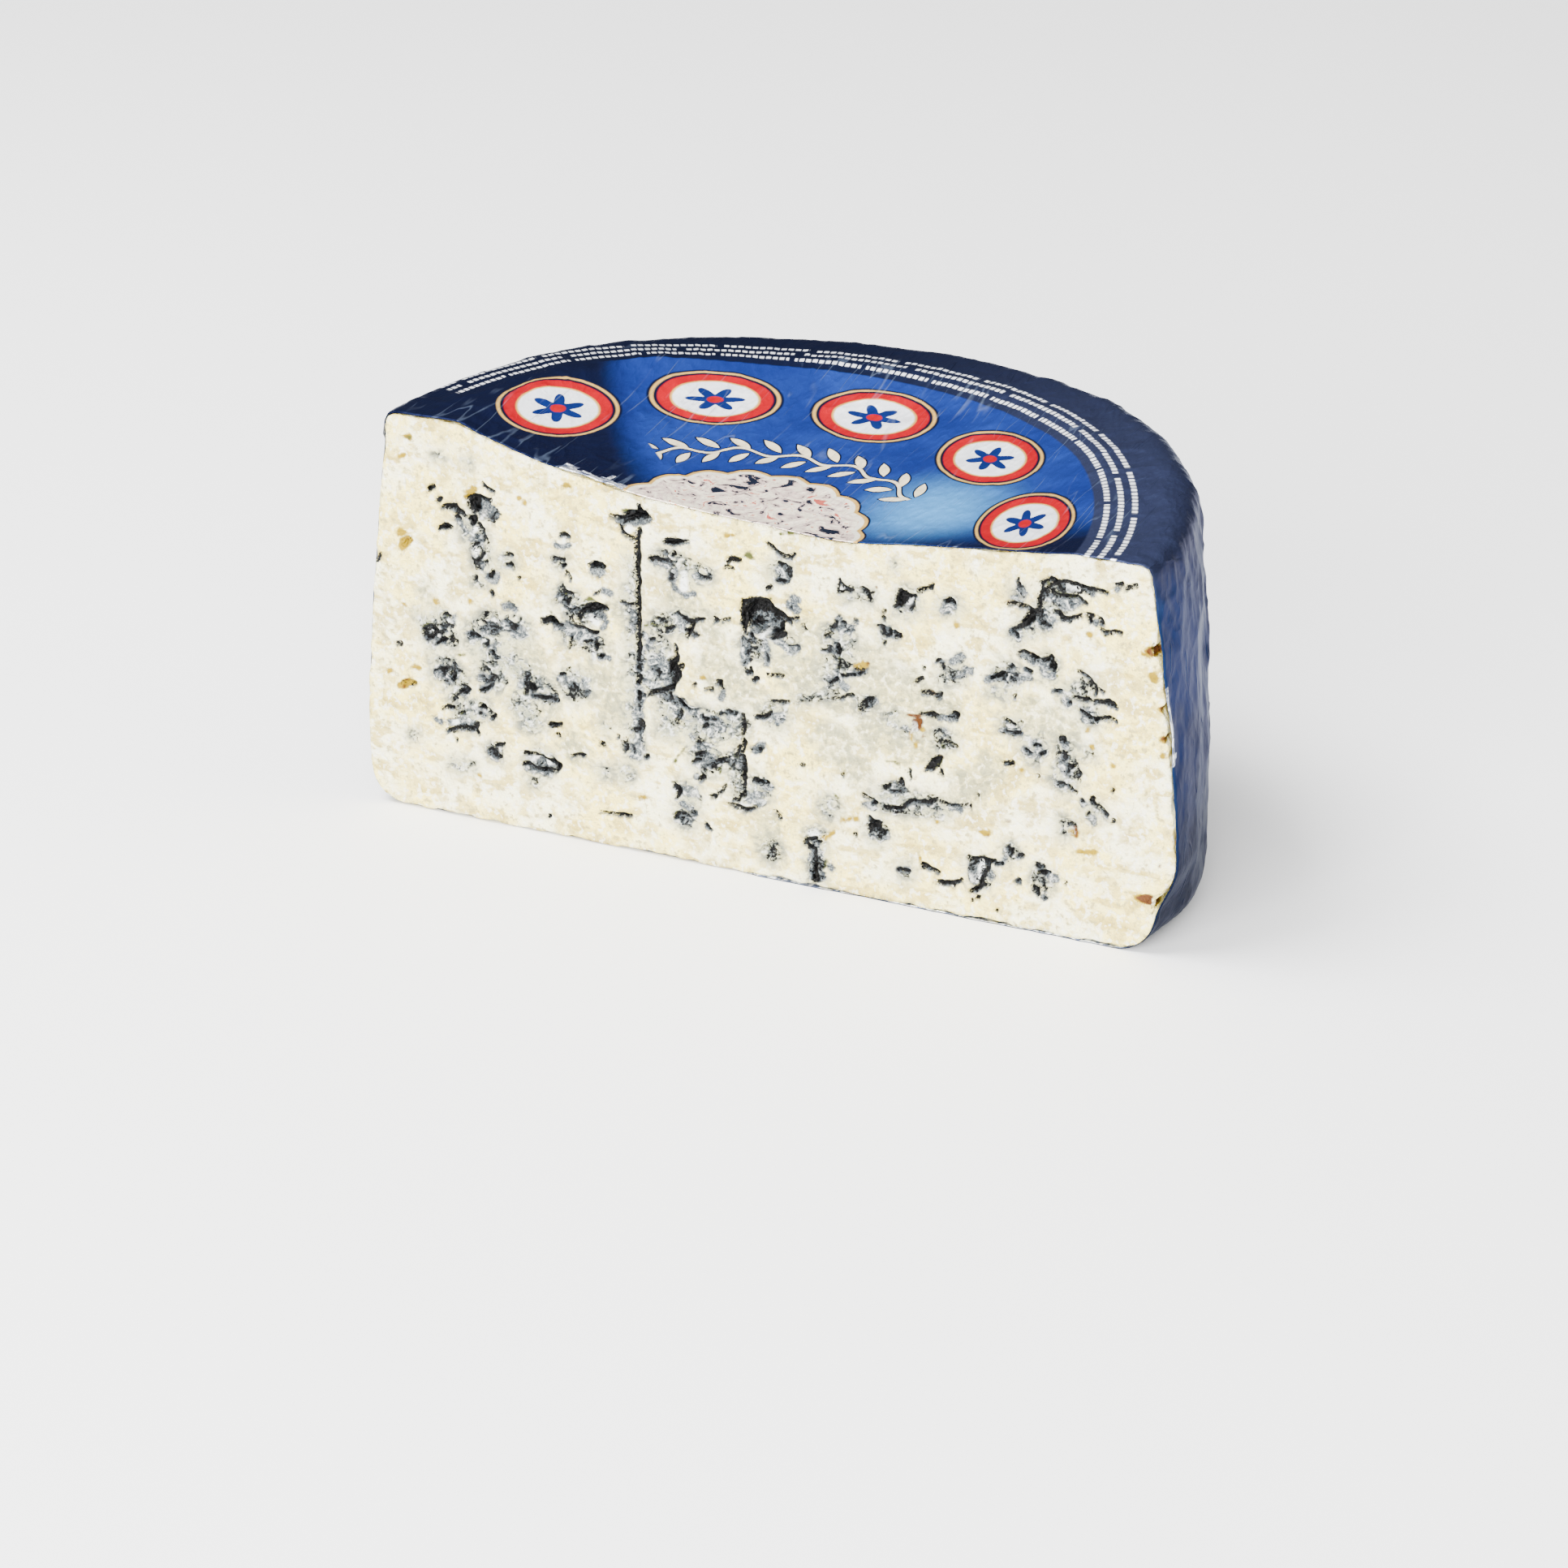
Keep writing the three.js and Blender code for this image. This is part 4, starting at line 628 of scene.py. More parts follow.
# Olive, ochre and rust-brown stains
OLIVE = [
    [(-87.8, 89.6, 0.5), (-86.6, 89.4, 0.6)], [(-47.8, 84.0, 0.3), (-45.6, 84.4, 0.4)],
    [(-33.0, 81.0, 0.7), (-31.0, 81.0, 0.7)], [(-3.4, 75.0, 0.5), (-2.0, 75.5, 1.6), (-0.9, 74.9, 0.9)],
    [(-18.4, 70.3, 0.9), (-16.4, 71.1, 0.7)], [(-84.8, 45.0, 0.9), (-82.8, 46.0, 0.9)],
    [(-75.4, 39.6, 0.4), (-74.2, 40.0, 0.7), (-73.4, 40.3, 0.4)], [(-79.0, 48.6, 0.8)],
    [(-47.8, 59.0, 1.0)], [(-44.8, 56.8, 1.0)],
    [(-42.6, 58.4, 1.0), (-41.0, 58.8, 1.5), (-39.8, 58.4, 0.8)], [(-51.4, 53.8, 0.9)],
    [(-28.0, 54.9, 0.4), (-26.0, 55.3, 0.6), (-24.0, 54.8, 0.6), (-22.8, 55.6, 0.8)],
    [(-19.6, 48.6, 0.9)], [(-9.0, 44.0, 0.6)], [(3.4, 66.4, 0.7)],
    [(3.2, 41.2, 1.5), (4.0, 41.4, 1.3), (3.4, 40.3, 0.9)], [(19.7, 55.0, 0.7), (19.6, 53.0, 0.8)],
    [(30.8, 60.9, 0.7)], [(44.6, 39.6, 0.9), (45.0, 38.4, 0.5)], [(42.6, 34.8, 2.2), (44.2, 36.0, 1.6)],
    [(69.0, 80.7, 0.7)], [(70.0, 78.8, 0.7), (73.4, 78.5, 0.8), (75.6, 79.0, 0.5)], [(71.6, 60.3, 0.8)],
    [(59.4, 48.6, 0.4), (60.6, 49.1, 0.3)], [(-75.6, 25.1, 0.9)], [(-55.2, 19.5, 0.7)],
    [(-58.6, 18.9, 0.5)], [(-20.6, 23.8, 1.3), (-20.0, 24.8, 0.5), (-18.0, 27.8, 0.5)],
    [(-9.6, 24.0, 1.1), (-9.5, 23.0, 0.8)], [(-21.4, 18.5, 0.7), (-20.0, 18.9, 0.7)],
    [(-21.2, 11.0, 0.9), (-20.2, 11.6, 0.7)], [(-5.6, 27.7, 1.1)], [(-38.0, 8.1, 0.3), (-34.0, 8.5, 0.5)],
    [(18.8, 23.4, 0.7), (20.0, 22.7, 0.7)], [(16.8, 7.0, 1.0), (16.0, 4.8, 0.7)], [(29.0, 18.4, 1.2)],
    [(79.3, 30.3, 0.8)], [(31.6, 33.6, 0.7), (34.6, 33.6, 0.6)], [(89.0, 44.5, 0.4)], [(87.4, 21.4, 0.5)],
    [(67.4, 14.0, 0.4)],
    [(-20.0, 85.6, 0.3), (-8.0, 85.0, 0.5), (0.0, 84.6, 0.5), (7.0, 83.6, 0.7), (14.0, 83.9, 0.3)],
    [(5.6, 82.2, 1.0), (8.0, 82.6, 1.4), (11.0, 83.0, 0.9)],
]
OCHRE = [
    [(-87.8, 89.7, 0.7), (-86.8, 89.5, 0.7)], [(-89.0, 84.9, 0.6), (-88.1, 85.3, 0.7)],
    [(-89.5, 66.8, 1.7)], [(-89.3, 63.5, 1.9), (-88.6, 64.5, 2.1), (-87.8, 65.4, 1.3)],
    [(-59.0, 79.7, 0.9)], [(-57.4, 78.6, 0.9)],
    [(-72.6, 77.6, 0.7), (-71.2, 79.2, 1.2), (-70.0, 80.2, 0.8)],
    [(-47.6, 84.1, 0.7), (-46.0, 84.7, 0.7)], [(-7.6, 79.2, 0.4), (-6.0, 79.3, 0.4)], [(48.0, 68.2, 0.8)],
    [(91.4, 69.0, 0.5), (93.0, 68.9, 0.5)], [(93.8, 64.0, 2.0)], [(-89.4, 49.2, 0.9)],
    [(-81.0, 51.4, 1.1)], [(-72.2, 53.0, 0.9)], [(-87.2, 34.6, 0.8), (-85.8, 34.6, 0.6)],
    [(-94.2, 32.4, 0.8), (-93.2, 33.0, 0.6)],
    [(-91.0, 29.4, 1.3), (-89.6, 30.2, 1.8), (-88.4, 30.6, 1.2), (-87.3, 30.5, 0.5)],
    [(-13.4, 45.2, 0.8)], [(24.0, 54.0, 1.0), (26.2, 54.9, 1.3)], [(38.6, 38.7, 0.9)],
    [(37.2, 41.0, 0.4), (37.4, 39.8, 0.4)], [(39.8, 42.6, 0.8)], [(79.9, 46.0, 0.9)], [(84.8, 42.2, 0.7)],
    [(63.4, 37.4, 0.5)], [(78.8, 49.2, 0.6)], [(78.6, 71.0, 0.7)], [(-70.6, 11.3, 0.7)],
    [(-29.4, 13.0, 0.4), (-28.0, 13.6, 0.4)], [(20.8, 17.5, 0.5), (24.6, 18.5, 0.5)],
    [(16.0, 12.2, 0.5), (18.8, 14.0, 0.5)], [(43.6, 21.5, 0.6)], [(39.5, 11.8, 0.9)],
    [(53.6, 21.2, 0.4), (55.6, 20.9, 1.2)], [(77.2, 21.0, 0.4), (78.6, 21.2, 0.7), (81.4, 21.5, 0.4)],
    [(76.8, 25.0, 0.8), (75.4, 25.2, 0.8)], [(96.6, 46.8, 1.2)],
]
RUST = [
    [(-88.4, 65.2, 0.5)], [(-90.3, 29.1, 0.4)], [(-89.4, 31.0, 0.5)], [(-6.0, 74.0, 0.4)],
    [(28.8, 73.2, 0.4)], [(26.7, 55.2, 0.7)], [(36.8, 45.3, 0.7), (39.2, 45.0, 1.1)],
    [(38.6, 44.0, 1.6), (38.6, 42.9, 1.9)], [(40.2, 41.0, 0.6)], [(41.0, 51.3, 0.5), (42.4, 51.2, 0.4)],
    [(44.6, 36.8, 0.7)], [(42.8, 34.8, 0.9)], [(63.8, 64.7, 0.4), (65.4, 64.1, 0.3)],
    [(76.3, 26.0, 1.0), (76.6, 25.0, 1.0)], [(28.8, 18.4, 0.8)], [(60.0, 24.8, 0.3), (61.0, 25.1, 0.3)],
    [(56.0, 20.4, 0.5)], [(96.2, 21.4, 0.5)], [(93.8, 69.2, 0.9), (95.6, 69.8, 1.9)], [(96.7, 57.2, 1.1)],
    [(97.0, 50.4, 0.8)], [(92.6, 13.1, 0.6), (94.6, 13.2, 2.0)],
]

# The kinds of mark that the mesh is divided for, and all the fields that the paste's material reads
GROWN = ["crack", "slate", "haze", "pale", "ochre", "rust", "olive"]
NOTED = [*GROWN, "veil", "curd", "dip"]


def reach_into(strokes, x, z):
    """How far inside the nearest stroke a point lies, in mm: 0 at the stroke's edge, and less outside"""
    found = np.full(len(x), -FAR)
    for points in strokes:
        for (xa, za, wide_a), (xb, zb, wide_b) in zip(points, points[1:] or points):
            span = max(wide_a, wide_b) / 2 + FAR
            close = (np.abs(x - (xa + xb) / 2) < abs(xb - xa) / 2 + span)
            close &= np.abs(z - (za + zb) / 2) < abs(zb - za) / 2 + span
            if not close.any():
                continue
            px, pz = x[close] - xa, z[close] - za
            run = max((xb - xa) ** 2 + (zb - za) ** 2, TINY)
            along = np.clip((px * (xb - xa) + pz * (zb - za)) / run, 0, 1)
            away = np.hypot(px - along * (xb - xa), pz - along * (zb - za))
            inside = (wide_a + along * (wide_b - wide_a)) / 2 - away
            found[close] = np.maximum(found[close], inside)
    return found


def pocket_fields(x, z):
    """Depth of the pockets, and how far a point lies inside their black roofs, dark mould with painted
    shadow, and their blue-grey floors
    """
    depth = np.zeros(len(x))
    mould_and_shadow_roof = np.full(len(x), -FAR)
    floor = np.full(len(x), -FAR)
    for px, pz, width, height, tilt, deep, black in POCKETS:
        turn = math.radians(tilt)
        along = (x - px) * math.cos(turn) + (z - pz) * math.sin(turn)
        up = (z - pz) * math.cos(turn) - (x - px) * math.sin(turn)
        size = min(width, height) / 2
        inside = (1 - np.hypot(along / (width / 2), up / (height / 2))) * size
        depth = np.maximum(depth, deep * smooth(inside, -0.1, 0.8))
        edge = height * (0.5 - black)
        mould_and_shadow_roof = np.maximum(mould_and_shadow_roof, np.minimum(inside, up - edge))
        floor = np.maximum(floor, inside)
    return depth, mould_and_shadow_roof, floor


def make_face():
    """The cut face as a flat grid, and the body behind it as its outline drawn back ring by ring"""
    bpy.ops.mesh.primitive_grid_add(
        x_subdivisions=FACE_COLUMNS, y_subdivisions=FACE_ROWS, size=2, rotation=(math.pi / 2, 0, 0)
    )
    piece = bpy.context.active_object
    piece.name = piece.data.name = "cheese_half"
    bpy.ops.object.transform_apply(location=True, rotation=True, scale=True)
    edit(piece)
    bpy.ops.mesh.select_mode(type="EDGE")
    bpy.ops.mesh.select_all(action="SELECT")
    bpy.ops.mesh.region_to_loop()
    for _ in range(BACK_RINGS):
        bpy.ops.mesh.extrude_region_move(TRANSFORM_OT_translate={"value": (0, 1, 0)})
    leave_edit()
    return piece


def draw_out_drum(piece):
    """Rows, columns and rings of the grid take their places on the straight half drum"""
    across, ring, up = read_places(piece.data.vertices, "co")
    radius = WHEEL_RADIUS - PASTE_INSET
    y = radius * np.sin(math.pi / 2 * (ring / BACK_RINGS) ** 2)
    spread = (1 - CLOSER_AT_ENDS) * across + CLOSER_AT_ENDS * np.sin(math.pi / 2 * across)
    x = spread * np.sqrt(np.maximum(0, radius**2 - y**2))
    away = np.hypot(x, y)
    low, high = drum_floor(away, PASTE_INSET), drum_top(away, PASTE_INSET)
    z = low + (high - low) * (up + 1) / 2
    move_points(piece, x, y, z)
    edit(piece)
    bpy.ops.mesh.select_all(action="SELECT")
    bpy.ops.mesh.remove_doubles(threshold=MERGE)
    bpy.ops.mesh.normals_make_consistent(inside=False)
    leave_edit()


def refine(piece, interest):
    """Halves the faces of the cut where interest(x, z) is true"""
    x, y, z = read_places(piece.data.polygons, "center") / MM
    inner = (np.abs(x) < WHEEL_RADIUS - PASTE_INSET - 1.5) & (z > 2.5) & (z < NOMINAL_HEIGHT - 3)
    chosen = (np.abs(y - AXIS_Y) < ON_CUT) & inner & interest(x, z)
    edit(piece)
    bpy.ops.mesh.select_mode(type="FACE")
    bpy.ops.mesh.select_all(action="DESELECT")
    leave_edit()
    piece.data.polygons.foreach_set("select", chosen)
    edit(piece)
    bpy.ops.mesh.subdivide(number_cuts=1, quadcorner="STRAIGHT_CUT", ngon=False)
    leave_edit()


def make_cheese():
    piece = make_face()
    draw_out_drum(piece)
    refine(piece, near_mark(GROWN, MOULD_MARGIN))
    refine(piece, near_mark(["crack"], CRACK_MARGIN))
    x, y, z = read_places(piece.data.vertices, "co") / MM
    y = y - AXIS_Y
    on_face = np.abs(y) < ON_CUT
    rind = np.minimum(np.minimum(WHEEL_RADIUS - np.hypot(x, y), z), NOMINAL_HEIGHT - z)
    x, y, z = draw_in(x, y, z)
    x, y, z = settle(x, y, z)
    fields = mark_fields(x, z)
    fade = smooth(rind, PASTE_INSET, PASTE_INSET + 1.2)
    y = y + on_face * (fade * fields["relief"] + 0.35 * (1 - fade) ** 2)
    x, z, bitten = nibble_edges(x, y, z, rind)
    move_points(piece, x, y, z)
    fields["rust"] = np.maximum(fields["rust"], np.where(bitten > 0.5, bitten - 0.9, -FAR))
    fields["ochre"] = np.maximum(fields["ochre"], np.where(bitten > 0.15, bitten - 0.5, -FAR))
    for name in NOTED:
        note(piece, name, np.where(y < 6, fields[name], -FAR))
    piece.data.shade_smooth()
    return piece


def draw_in(x, y, z):
    """Behind the cut the paste stands a little clear of the foil's folds"""
    inward = PASTE_DRAWN_IN * smooth(y, 0.2, 6)
    away = np.maximum(np.hypot(x, y), TINY)
    near_side = smooth(away, WHEEL_RADIUS - 12, WHEEL_RADIUS - 3)
    shrink = 1 - inward * near_side / away
    near_top = smooth(z, NOMINAL_HEIGHT - 12, NOMINAL_HEIGHT - 2)
    near_base = 1 - smooth(z, 2, 12)
    return x * shrink, y * shrink, z - inward * near_top + inward * near_base


def nibble_edges(x, y, z, rind):
    """The knife leaves a crumbly outline, with a few bites out of the upright edges"""
    near_cut = 1 - smooth(y, 0.5, 5)
    border = 1 - smooth(rind, PASTE_INSET, PASTE_INSET + 2.5)
    crumbs = np.maximum(0, rough(x, y, z, 4.5, 3, seed=6.4) + 0.25) * 0.75 * near_cut * border
    bite = np.zeros(len(x))
    for end, height, half, deep in BITES:
        share = np.maximum(0, 1 - np.abs(z - height) / half) ** 0.8
        inner = smooth(x * end, 96.5 - 2.2 * deep, 98.0)
        bite += end * deep * share * inner * (1 - smooth(y, 1.5, 6.5))
    upright = smooth(np.abs(x), 86, 96)
    x = x - bite - np.sign(x) * crumbs * upright
    return x, z + crumbs * (1 - upright) * np.where(z < 30, 1, -0.5), np.abs(bite)


def near_mark(names, margin):
    """A test of places on the straight drum's cut: do they come this near to such marks once it settles?"""
    def near(x, z):
        settled_x, _, settled_z = settle(x, np.zeros(len(x)), z)
        fields = marks_at(settled_x, settled_z)
        return np.maximum.reduce([fields[name] for name in names]) > -margin
    return near


def marks_at(x, z):
    """Reach into every kind of mark, with the strokes drawn unevenly as mould grows"""
    level = np.zeros(len(x))
    wx = x + WANDER * rough(x, level, z, WANDER_SIZE, 2, seed=3.1)
    wz = z + WANDER * rough(x, level, z, WANDER_SIZE, 2, seed=8.7)
    depth, mould_and_shadow_roof, floor = pocket_fields(wx, wz)
    channels = [[(cx, cz, wide) for cz, wide in run] for cx, runs in NEEDLE_CHANNELS for run in runs]
    crack = reach_into(CRACKS + channels, wx, wz) + CRACK_GROWTH
    fringe = reach_into(CRACKS, wx, wz + FRINGE_DROP) + FRINGE_SPREAD
    return {
        "depth": depth,
        "cut": crack,
        # The pockets' black roofs join the cracks: dark mould with painted shadow under the overhang
        "crack": np.maximum(crack, mould_and_shadow_roof),
        "slate": np.maximum.reduce([reach_into(SLATE, wx, wz) + SLATE_GROWTH, floor, fringe]),
        "haze": reach_into(HAZE, wx, wz),
        "veil": reach_into(VEILS, wx, wz),
        "pale": reach_into(PALE, wx, wz),
        "olive": reach_into(OLIVE, wx, wz),
        "ochre": reach_into(OCHRE, wx, wz) + SPOT_GROWTH,
        "rust": reach_into(RUST, wx, wz) + SPOT_GROWTH / 2,
    }


def curd_edges(x, z):
    """About how far a point lies from the nearest join between two curds, in mm"""
    level = np.zeros(len(x))
    large = np.abs(rough(x, level, z * 1.3, 3.4, 3, seed=4.6)) * 2.6
    little = np.abs(rough(x + 0.5 * z, level, z, 2.1, 2, seed=7.7)) * 1.9 + 0.08
    return np.minimum(large, little)


def mark_fields(x, z):
    """The marks, with the joins between curds, and the relief that all of it gives the cut, in mm"""
    fields = marks_at(x, z)
    level = np.zeros(len(x))
    join = curd_edges(x, z)
    open_join = rough(x, level, z, 5.0, 3, seed=2.8)
    fields["curd"] = 0.42 - join + 0.5 * np.clip(open_join, -1, 0.3)
    mould = np.maximum(fields["haze"], fields["slate"] - 0.3)
    hollow = np.where(mould > -0.4, 0.2 - join + 0.6 * np.clip(open_join - 0.25, -1, 0.3), -FAR)
    fields["crack"] = np.maximum(fields["crack"], hollow)
    groove = 1.3 * np.clip(np.maximum(fields["cut"], hollow) + 0.35, 0, 1.2)
    crumbly = smooth(np.maximum(mould, fields["veil"]), -2, 0.5)
    paste = 0.34 * rough(x, level, z, 16, 3, seed=1.3) + 0.34 * rough(x, level, z, 3.6, 4, seed=5.2)
    crumb = 0.36 * rough(x, level, z, 1.6, 3, seed=9.9) + 0.34 * smooth(fields["curd"], -0.5, 0.3)
    # The paste's own relief, for the material to paint shade in its hollows
    fields["dip"] = paste / 0.4
    fields["relief"] = np.maximum(fields["depth"], groove) + paste + crumbly * crumb + 0.1
    return fields


def foil_profile():
    """The foil's half section on the straight drum, from the base's middle to the top's middle"""
    points = []
    base_flat, top_flat = WHEEL_RADIUS - BASE_CORNER, WHEEL_RADIUS - TOP_CORNER
    for step in range(BASE_ROWS):
        points.append((base_flat * (step / BASE_ROWS) ** 0.8, 0.0))
    for step in range(BASE_CORNER_ROWS):
        turn = math.pi / 2 * step / BASE_CORNER_ROWS
        points.append((base_flat + BASE_CORNER * math.sin(turn), BASE_CORNER * (1 - math.cos(turn))))
    for step in range(SIDE_ROWS):
        points.append((WHEEL_RADIUS, BASE_CORNER + (SIDE_TOP - BASE_CORNER) * step / SIDE_ROWS))
    for step in range(TOP_CORNER_ROWS):
        turn = math.pi / 2 * step / TOP_CORNER_ROWS
        points.append((top_flat + TOP_CORNER * math.cos(turn), SIDE_TOP + TOP_CORNER * math.sin(turn)))
    for step in range(TOP_ROWS + 1):
        points.append((top_flat * (1 - step / TOP_ROWS), NOMINAL_HEIGHT))
    return points


def make_foil():
    """One skin: its section, as a row of points, is turned half way round"""
    section = foil_profile()
    bpy.ops.mesh.primitive_grid_add(x_subdivisions=len(section) - 1, y_subdivisions=1, size=2)
    piece = bpy.context.active_object
    piece.name = piece.data.name = "printed_foil"
    bpy.ops.object.transform_apply(location=True, rotation=True, scale=True)
    edit(piece)
    bpy.ops.mesh.select_mode(type="VERT")
    bpy.ops.mesh.select_all(action="DESELECT")
    leave_edit()
    for point in piece.data.vertices:
        point.select = point.co.y > 0
    edit(piece)
    bpy.ops.mesh.delete(type="VERT")
    leave_edit()
    for point, (radius, height) in zip(sorted(piece.data.vertices, key=lambda v: v.co.x), section):
        point.co = (radius * MM, 0, height * MM)
    edit(piece)
    bpy.ops.mesh.select_all(action="SELECT")
    bpy.ops.mesh.spin(steps=TURN_STEPS, angle=-math.pi, center=(0, 0, 0), axis=(0, 0, 1))
    bpy.ops.mesh.select_all(action="SELECT")
    bpy.ops.mesh.remove_doubles(threshold=MERGE)
    bpy.ops.mesh.normals_make_consistent(inside=False)
    leave_edit()
    return piece


# Where the foil's cut edge stands off: on top by x, on the right side by height, half length and lift
TOP_CURLS = [(-46.0, 5.0, 0.6), (-38.5, 2.5, 0.5), (62.0, 6.0, 0.3), (-84.0, 6.0, 0.2)]
SIDE_CURLS = [(57.0, 9.0, 0.8), (76.0, 4.0, 0.4), (34.0, 7.0, 0.2)]
# Where the print stops short of the cut edge: on top by x, on the right side by height, and how far back
BARE_TOP = (-53.0, -36.0, 2.6)
BARE_SIDE = [(48.0, 67.0, 1.1), (0.0, 7.0, 1.1)]
# How much deeper the side's folds are at the back
BACK_WRINKLES = 1.3
# Where the foil stands fuller: turn, reach, height, and from where to where along the section
SWELLS = [(148.0, 22.0, 1.5, 74, 124), (32.0, 26.0, 1.0, 26, 100)]


def creases(x, y, along, size, length, seed, sharp):
    """Thin ridges that wander, size mm apart and length mm long, from 0 to 1"""
    level = hills(x / size + seed, y / size - seed, along / length + 2 * seed, 2)
    return (1 - np.minimum(1, np.abs(level) * sharp)) ** 2


def facets(x, y, along, size, length, seed):
    """Flat slopes that meet in sharp ridges, size mm across and length mm long, from about -0.5 to 0.5"""
    return 0.5 - 1.9 * np.abs(hills(x / size - seed, y / size + seed, along / length + seed, 1))


def bare_edges(piece):
    """Silver shows where the print doesn't reach the cut edge"""
    x, y, z = read_places(piece.data.polygons, "center") / MM
    ragged = y * (1 + 0.7 * rough(x, z, z, 2.4, 2, seed=3.6))
    bare = (z > NOMINAL_HEIGHT - 1) & (x > BARE_TOP[0]) & (x < BARE_TOP[1]) & (ragged < BARE_TOP[2])
    for low, high, back in BARE_SIDE:
        bare |= (x > WHEEL_RADIUS - 1) & (z > low) & (z < high) & (ragged < back)
    piece.data.polygons.foreach_set("material_index", bare.astype(np.int32))


def section_places(away, z):
    """How far up the foil's section a point lies, and how far its outside faces out and up there"""
    base_flat, top_flat = WHEEL_RADIUS - BASE_CORNER, WHEEL_RADIUS - TOP_CORNER
    upper, lower = z > SIDE_TOP, z < BASE_CORNER
    on_base = lower & (away < base_flat)
    along = np.where(upper, NOMINAL_HEIGHT + top_flat - away, np.where(on_base, away - base_flat, z))
    low_out = np.where(lower, (away - base_flat) / BASE_CORNER, 1)
    low_up = np.where(lower, (z - BASE_CORNER) / BASE_CORNER, 0)
    out = np.clip(np.where(upper, (away - top_flat) / TOP_CORNER, low_out), 0, 1)
    up = np.where(upper, (z - SIDE_TOP) / TOP_CORNER, low_up)
    return along, out, up


def wrinkles(x, y, z, along):
    """Height of the folds, creases, slack and swells, each kind on its own stretch of the section"""
    away = np.maximum(np.hypot(x, y), 1)
    ring_x, ring_y = WHEEL_RADIUS * x / away, WHEEL_RADIUS * y / away
    slant = ring_x + 0.4 * along
    rim = smooth(along, 70, 88) * (1 - smooth(along, 104, 122))
    side = smooth(along, 4, 16) * (1 - smooth(along, 84, 96)) * (1 + BACK_WRINKLES * smooth(y, 20, 55))
    top = smooth(along, 98, 110)
    base = 1 - smooth(along, 2, 12)
    pleats = creases(ring_x, ring_y, along, 9.0, 44, 1.7, 5.0)
    fine_pleats = creases(ring_x, ring_y, along, 4.6, 30, 5.3, 4.0)
    folds = creases(slant, ring_y, along, 13, 60, 9.1, 6.5)
    fine_folds = creases(ring_x - 0.3 * along, ring_y, along, 6.5, 34, 12.4, 4.5)
    slack = facets(slant, ring_y, along, 17, 42, 3.9)
    slack = slack + 0.5 * facets(ring_x, ring_y - 0.5 * along, along, 8, 17, 7.2)
    crossing = creases(x + 0.5 * y, y, z, 20, 20, 3.3, 8.0)
    small_crossing = creases(x, y - 0.3 * x, z, 9.5, 9.5, 6.1, 5.5)
    taut = facets(x + 0.4 * y, y, z, 26, 26, 5.8) + 0.5 * facets(x, y - 0.6 * x, z, 11, 11, 2.7)
    height = rim * (0.2 * pleats + 0.1 * fine_pleats)
    height += side * (0.26 * folds + 0.12 * fine_folds + 0.42 * slack)
    height += top * (0.17 * crossing + 0.11 * small_crossing + 0.26 * taut)
    height += 0.16 * rough(x, y, z, 24, 2, seed=2.2) * (1 - base)
    angle = np.degrees(np.arctan2(y, x))
    for turned, reach, fuller, low, high in SWELLS:
        within = smooth(along, low, low + 18) * (1 - smooth(along, high - 20, high))
        height += fuller * near_end(angle, turned, reach) * within
    return height - base * np.minimum(0.5, 0.5 * pleats + 0.3 * fine_pleats)


def free_edge(x, y, z, along, height):
    """Near the cut the foil lies flatter, curls off in a few places, and puckers down the right side"""
    loose = np.maximum(0, 1 - y / 5) ** 2
    height = height * (1 - 0.6 * loose)
    right = (x > 0) & (np.abs(along - NOMINAL_HEIGHT / 2) < NOMINAL_HEIGHT / 2)
    for place, half, lift in TOP_CURLS:
        height += (along > NOMINAL_HEIGHT + 2) * lift * np.exp(-(((x - place) / half) ** 2)) * loose
    for place, half, lift in SIDE_CURLS:
        height += right * lift * np.exp(-(((z - place) / half) ** 2)) * loose
    puckers = creases(x, 0.4 * y, z, 6.0, 6.0, 8.8, 4.0) * np.exp(-((y / 12) ** 2)) * smooth(z, 50, 70)
    return height - 0.4 * right * puckers


def torn_edge(x, y, z, along):
    """How far back the foil's ragged edge stays from the cut"""
    jags = 0.15 + 0.3 * rough(x, z, along, 7, 2, seed=8.2) + 0.2 * rough(x, z, along, 2.2, 2, seed=4.1)
    jags += np.where((x < 0) & (z < SIDE_TOP), 1.2, 0)
    return np.clip(jags, 0.02, 2.0) * np.maximum(0, 1 - y / 9) ** 2


def crumple(piece):
    """The foil wrinkles, comes a little away from the cut, and settles with the wheel"""
    x, y, z = read_places(piece.data.vertices, "co") / MM
    y = np.maximum(y, 0)
    away = np.hypot(x, y)
    along, out, up = section_places(away, z)
    height = free_edge(x, y, z, along, wrinkles(x, y, z, along))
    back = torn_edge(x, y, z, along)
    outward = height * out
    away = np.maximum(away, 1e-6)
    x, y, z = x + outward * x / away, y + outward * y / away + back, np.maximum(0, z + height * up)
    move_points(piece, *settle(x, y, z))


def thicken(piece, skin):
    """The sheet's silver side and edge lie inside the printed side"""
    bpy.ops.object.select_all(action="DESELECT")
    piece.select_set(True)
    bpy.context.view_layer.objects.active = piece
    wall = piece.modifiers.new("wall", "SOLIDIFY")
    wall.thickness = skin * MM
    wall.offset = -1
    wall.material_offset = 1
    wall.material_offset_rim = 0
    bpy.ops.object.modifier_apply(modifier="wall")


def srgb(red, green, blue):
    """A colour given as 0 to 255, as a screen shows it, for a shader"""
    def line(level):
        level = level / 255
        return level / 12.92 if level <= 0.04045 else ((level + 0.055) / 1.055) ** 2.4
    return (line(red), line(green), line(blue), 1)


def new_material(name):
    material = bpy.data.materials.new(name)
    material.use_nodes = True
    material.node_tree.nodes.clear()
    return material


